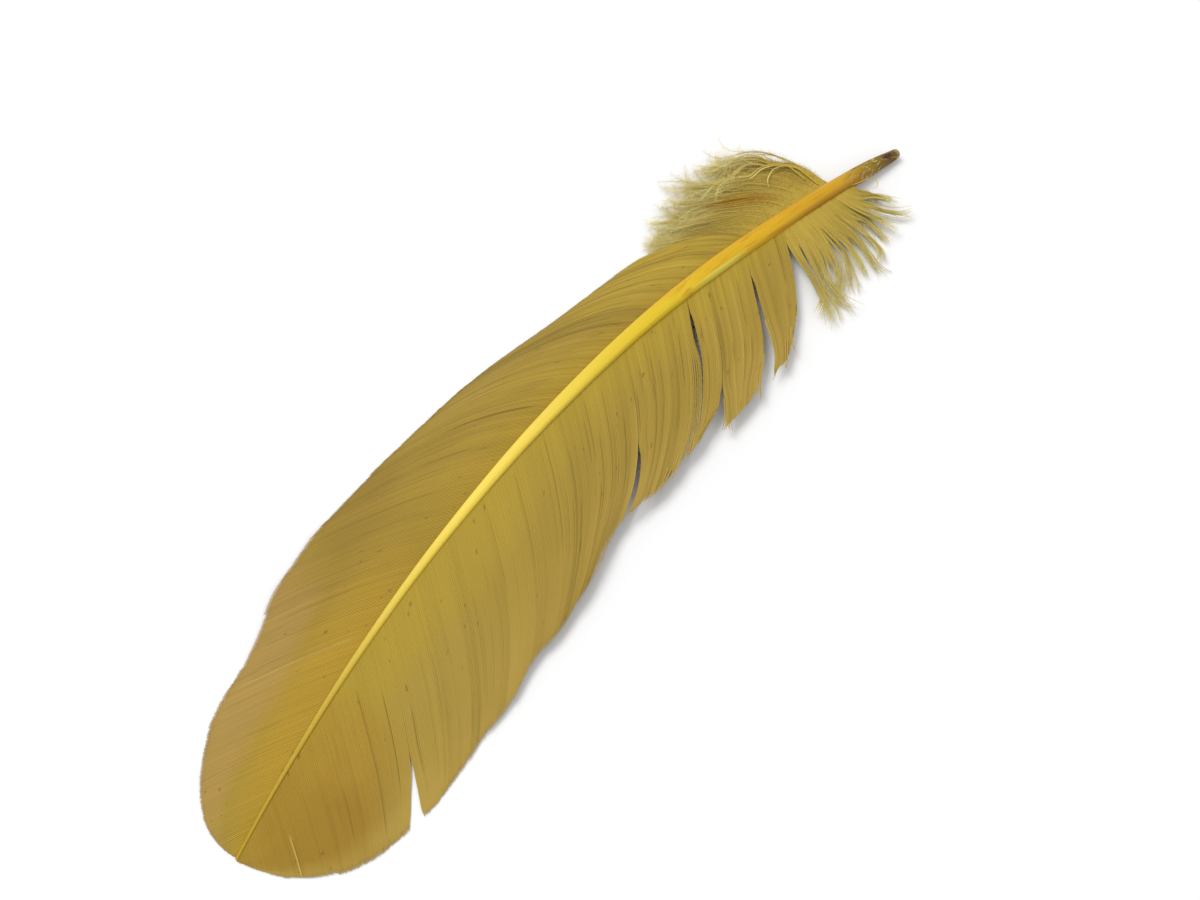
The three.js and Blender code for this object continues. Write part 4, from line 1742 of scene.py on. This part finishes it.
OUTER_VANE = Vane(
    name="outer_vane",
    side=Side.OUTER,
    line=LINE,
    roots=(61.5, 299.0),
    width=Profile(
        (60, 23.5), (85, 21.6), (95, 22.6), (120, 24.3), (150, 28.6), (160, 29.9), (175, 30.8),
        (200, 32.8), (217, 33.7), (235, 32.5), (250, 28.6), (262, 26.9), (300, 26.9),
    ),
    tip_start=262.0,
    tip_end=299.5,
    tip_power=2.0,
    angle_at_shaft=Profile((60, 58), (120, 57), (170, 49), (240, 44), (290, 42), (299, 14)),
    angle_at_margin=Profile((60, 18), (110, 14), (150, 20), (236, 33), (290, 36), (299, 12)),
    bend_power=1.3,
    margin_height=Profile((50, 2.5), (95, 0.2), (195, 0.2), (235, 1.2), (268, 0.2), (300, 0.2)),
    # The dark creases are painted shade; those near the margin from station 82 to 136 shade its curl.
    creases=(
        Crease(68.0, 0.35, 0.6, 0.9),
        Crease(76.0, 0.1, 0.9, 0.5),
        Crease(82.0, 0.6, 1.0, 0.8),
        Crease(88.0, 0.55, 1.0, 0.7),
        Crease(94.0, 0.6, 1.0, 0.8),
        Crease(100.0, 0.65, 1.0, 0.7),
        Crease(105.0, 0.5, 1.0, 0.7),
        Crease(111.4, 0.12, 1.0, 1.0),
        Crease(112.0, 0.15, 1.0, 0.8),
        Crease(119.0, 0.6, 1.0, 0.7),
        Crease(128.0, 0.65, 1.0, 0.8),
        Crease(136.0, 0.6, 0.95, 0.7),
        Crease(149.4, 0.15, 0.75, 1.0),
        Crease(150.0, 0.2, 0.6, 0.6),
        Crease(165.0, 0.2, 0.36, 1.0),
        Crease(180.0, 0.3, 0.9, 0.5),
        Crease(205.0, 0.3, 0.7, 0.3, Mark.PALE),
        Crease(232.4, 0.2, 0.9, 0.5),
        Crease(233.0, 0.1, 0.95, 0.9, Mark.PALE),
    ),
    finish=BarbFinish(
        # Painted shade: these are set darker than the inner vane's, for the outer vane's tilt from the
        # light; the rest is the dye's own colour.
        by_shaft=srgb(153, 125, 34),
        in_middle=srgb(151, 125, 44),
        by_margin=srgb(155, 130, 55),
        tints=(
            Tint(206.0, 0.5, 42.0, 0.8, srgb(144, 118, 40), 0.7),
            Tint(206.0, 0.8, 16.0, 0.3, srgb(138, 112, 42), 0.6),
            Tint(264.0, 0.95, 40.0, 0.5, srgb(164, 132, 68), 0.85),
            Tint(252.0, 0.15, 44.0, 0.4, srgb(166, 132, 38), 0.7),
            Tint(84.0, 0.8, 36.0, 0.7, srgb(167, 141, 46), 0.85),
        ),
        web_depth=0.95,
        tone_depth=0.06,
    ),
    faint_creases=FaintCreases(count=220, bias=1.9),
    seed=23,
)

INNER_DOWN = Down(
    name="inner_down",
    line=LINE,
    locks=(
        Lock(
            51.0, ((52.9, 4.9), (55.9, 14.0), (58.6, 23.1), (61.2, 29.8), (64.4, 35.8), (66.3, 38.8)),
            2.8, 0.14, 0.25,
        ),
        Lock(48.6, ((50.3, 8.4), (52.8, 15.3), (56.9, 25.8), (58.6, 32.3), (61.0, 38.0)), 2.2, 0.45, 0.25),
        Lock(46.6, ((48.6, 9.8), (51.6, 18.5), (54.6, 25.5), (55.4, 31.5), (55.7, 38.6)), 2.6, 0.45, 0.3),
        Lock(43.6, ((44.8, 10.6), (46.6, 19.0), (51.1, 26.8), (57.0, 31.7), (55.6, 36.5)), 2.0, 0.2, 0.35),
        Lock(41.2, ((41.9, 10.4), (42.7, 19.8), (45.8, 26.1), (51.7, 33.9)), 1.6, 0.4, 0.5),
        Lock(38.6, ((38.9, 9.0), (39.0, 17.0), (40.6, 24.5), (43.2, 31.6)), 2.2, 0.4, 0.7),
        Lock(36.0, ((36.0, 9.5), (35.6, 17.5), (36.4, 25.9), (37.4, 30.1), (36.7, 35.0)), 1.4, 0.5),
        Lock(33.5, ((33.4, 9.7), (32.2, 17.0), (32.4, 25.2), (36.8, 31.5)), 2.4, 0.42),
        Lock(31.2, ((30.3, 8.0), (27.5, 16.5), (27.0, 26.1)), 1.8, 0.4),
        Lock(29.2, ((28.0, 7.2), (25.0, 15.6), (22.2, 24.7)), 2.6, 0.36),
        Lock(27.5, ((26.0, 6.8), (22.6, 13.4), (17.8, 19.7), (13.3, 22.9)), 2.0, 0.3),
        Lock(25.8, ((23.8, 6.4), (18.6, 10.7), (14.9, 17.0)), 2.4, 0.3),
        Lock(24.4, ((22.3, 5.0), (19.4, 7.2), (16.2, 12.3)), 1.8, 0.3),
    ),
    curls=(
        Stray(
            ((24.0, 2.0), (20.2, 3.0), (16.5, 3.4), (14.3, 5.7), (16.1, 7.9), (19.5, 7.4)),
            4.0, 3.2, 2, 0.5,
        ),
        Stray(((56.0, 24.5), (58.9, 26.7), (63.7, 28.9), (67.2, 30.0)), 3.2, 2.6, 4, 1.6),
        Stray(((57.5, 26.0), (62.0, 30.5), (67.6, 33.0)), 3.2, 2.4, 3, 1.2),
    ),
    width=Profile((0, 0.4), (0.4, 0.34), (0.8, 0.2), (1, 0.08)),
    seed=31,
)

OUTER_DOWN = Down(
    name="outer_down",
    line=LINE,
    locks=(
        Lock(
            28.6, (
                (30.0, -4.9), (30.6, -9.6), (32.3, -14.2), (36, -19.8), (39.4, -25), (44.6, -27.9),
                (49.8, -29.1), (56.5, -31),
            ),
            2.6, 0.4,
        ),
        Lock(
            31.2, ((32.9, -6.5), (34.5, -12.5), (38.3, -18.6), (43.2, -22.8), (49, -27.4), (58, -34.4)),
            1.6, 0.7,
        ),
        Lock(
            34.0, ((36.3, -7.7), (39.4, -13.7), (43.2, -18.9), (49.3, -22.8), (57, -26.8), (64.8, -31.2)),
            2.4, 0.8,
        ),
        Lock(
            37.0, ((39.8, -8.4), (44, -14.6), (49, -18.8), (55.6, -23.0), (64, -28), (71, -30.8)),
            1.4, 0.6,
        ),
        Lock(
            40.6, ((43.6, -8.5), (48.4, -14.0), (54.6, -18.6), (61, -23), (68, -26.6), (75, -29.9)),
            2.2, 0.8,
        ),
        Lock(44.6, ((48.4, -8.6), (54.8, -14.0), (61.4, -18.8), (68.4, -23), (77.4, -28.9)), 1.3, 0.65),
        Lock(49.0, ((53.2, -8.4), (60.2, -13.2), (67.4, -17.6), (74.6, -22.2), (81.8, -27.4)), 1.9, 0.8),
        Lock(53.6, ((58.4, -8.2), (66.0, -12.6), (73.2, -16.6), (80.2, -21.0), (85.4, -24.8)), 1.1, 0.8),
        Lock(57.6, ((63.4, -8.6), (70.2, -13.0), (77.2, -17.2), (83.6, -20.8), (88.0, -23.4)), 1.0, 0.85),
        Lock(
            60.8, ((64.0, -4.6), (67.5, -8.9), (71.4, -12.8), (76.0, -16.2), (81.0, -19.2), (89.0, -22.6)),
            0.9, 0.9,
        ),
    ),
    curls=(
        Stray(
            (
                (31.0, -4.0), (31.3, -12.0), (33.9, -16.8), (37.0, -19.4), (41.0, -20.6), (45.1, -20.2),
                (48.7, -22.8),
            ),
            4.6, 4.2, 3, 1.4,
        ),
        Stray(((33.0, -8.0), (33.4, -15.0), (37.6, -17.4), (42.0, -15.6), (44.0, -12.8)), 4.8, 4.6, 2, 0.8),
        Stray(
            ((36.0, -17.0), (37.0, -24.0), (41.0, -28.6), (46.0, -29.2), (48.0, -26.2)),
            3.6, 4.0, 3, 1.4,
        ),
        Stray(((38.0, -20.0), (43.0, -24.5), (48.5, -24.0), (51.0, -21.0)), 4.0, 4.4, 2, 1.0),
        Stray(((44.0, -22.0), (50.0, -29.0), (55.6, -35.2)), 2.8, 2.0, 7, 2.6),
        Stray(((60.0, -22.0), (68.0, -28.0), (71.0, -33.5)), 2.8, 2.2, 5, 2.4),
        Stray(((68.0, -22.0), (77.0, -26.0), (81.0, -31.0)), 2.6, 1.8, 5, 2.4),
    ),
    finish=DownFinish(
        in_middle=srgb(168, 145, 68),
        at_tips=srgb(218, 206, 132),
        tints=(Tint(42.6, 0.42, 2.6, 0.28, srgb(160, 116, 30), 0.8),),
        tone_depth=0.2,
    ),
    barbs_per_lock=42,
    wisps=0.5,
    gather_lead=0.2,
    sway=1.5,
    unruly=0.2,
    hook=1.0,
    tip_bend=0.95,
    wildness=1.3,
    crimp=0.75,
    lock_width=Profile((0, 4.0), (0.5, 4.2), (1, 2.6)),
    width=Profile((0, 0.4), (0.5, 0.34), (0.8, 0.18), (1, 0.06)),
    barbules=Barbules(pitch=0.36, length=2.6, width=0.07, splay=(24, 86)),
    seed=37,
)


@dataclass(frozen=True)
class Lamp:
    """A soft square light that faces the feather."""

    name: str
    right: float  # how far it hangs to the picture's right of the feather, in metres
    away: float  # how far beyond the feather
    up: float  # how far above it
    side: float  # the length of its side, in metres
    power: float  # its power, in watts


@dataclass
class Stage:
    """The floor, the lights and the camera."""

    camera_at: tuple[float, float, float] = (166.0, 142.4, 373.0)  # the camera's place, in millimetres
    camera_aim: tuple[float, float, float] = (-1.0, 6.4, 0.0)  # the place it looks at
    view_angle: float = 44.0  # how much it takes in from left to right, in degrees
    sensor: float = 36.0  # the width of its sensor, in millimetres
    nearest: float = 0.01  # the least distance that it sees, in metres
    floor_side: float = 8.0  # the length of the floor's side, in metres
    lamps: tuple[Lamp, ...] = (
        Lamp("key", -1.86, 1.2, 3.45, 2.1, 103.0),
        Lamp("fill", 2.4, -1.5, 2.7, 3.6, 27.0),
    )
    room_light: float = 0.62  # the strength of the soft light from all sides
    finish: FloorFinish = FloorFinish()

    def _basis(self) -> tuple[Vector, Vector]:
        """Gives the picture's right and its far side, both level."""
        look = (Vector(self.camera_aim) - Vector(self.camera_at)) * MM
        away = Vector((look.x, look.y, 0.0)).normalized()
        return Vector((away.y, -away.x, 0.0)), away

    def build(self) -> None:
        """Makes the camera, the floor and the lights."""
        camera = bpy.data.objects.new("camera", bpy.data.cameras.new("camera"))
        bpy.context.scene.collection.objects.link(camera)
        camera.location = Vector(self.camera_at) * MM
        aim = (Vector(self.camera_aim) - Vector(self.camera_at)).to_track_quat("-Z", "Y")
        camera.rotation_euler = aim.to_euler()
        camera.data.sensor_width = self.sensor
        camera.data.lens = self.sensor / 2 / math.tan(math.radians(self.view_angle / 2))
        camera.data.clip_start = self.nearest
        bpy.context.scene.camera = camera
        self._floor()
        for lamp in self.lamps:
            self._light(lamp)
        self._sky()
        bpy.context.scene.view_settings.view_transform = "Standard"

    def _floor(self) -> None:
        """Lays the floor."""
        half = self.floor_side / 2
        corners = [(-half, -half, 0), (half, -half, 0), (half, half, 0), (-half, half, 0)]
        mesh = bpy.data.meshes.new("floor")
        mesh.from_pydata(corners, [], [(0, 1, 2, 3)])
        floor = bpy.data.objects.new("floor", mesh)
        bpy.context.scene.collection.objects.link(floor)
        floor.data.materials.append(self.finish.material("pale_floor"))

    def _light(self, lamp: Lamp) -> None:
        """Hangs one light.

        Args:
            lamp: the light.
        """
        light = bpy.data.lights.new(lamp.name, "AREA")
        light.size = lamp.side
        light.energy = lamp.power
        right, away = self._basis()
        at = right * lamp.right + away * lamp.away + Vector((0.0, 0.0, lamp.up))
        holder = bpy.data.objects.new(lamp.name, light)
        holder.location = at
        holder.rotation_euler = (-at).to_track_quat("-Z", "Y").to_euler()
        bpy.context.scene.collection.objects.link(holder)

    def _sky(self) -> None:
        """Fills the room with soft light."""
        world = bpy.data.worlds.new("room")
        bpy.context.scene.world = world
        world.use_nodes = True
        background = world.node_tree.nodes["Background"]
        background.inputs["Color"].default_value = (1.0, 1.0, 1.0, 1.0)
        background.inputs["Strength"].default_value = self.room_light


def main() -> None:
    """Builds the feather, piece by piece, and dresses each piece."""
    logging.basicConfig(level=logging.INFO, format="%(name)s: %(message)s")
    Stage().build()
    for part in (Shaft(LINE), OUTER_VANE, INNER_VANE, OUTER_DOWN, INNER_DOWN):
        part.dress(part.build())


if __name__ == "__main__":
    main()
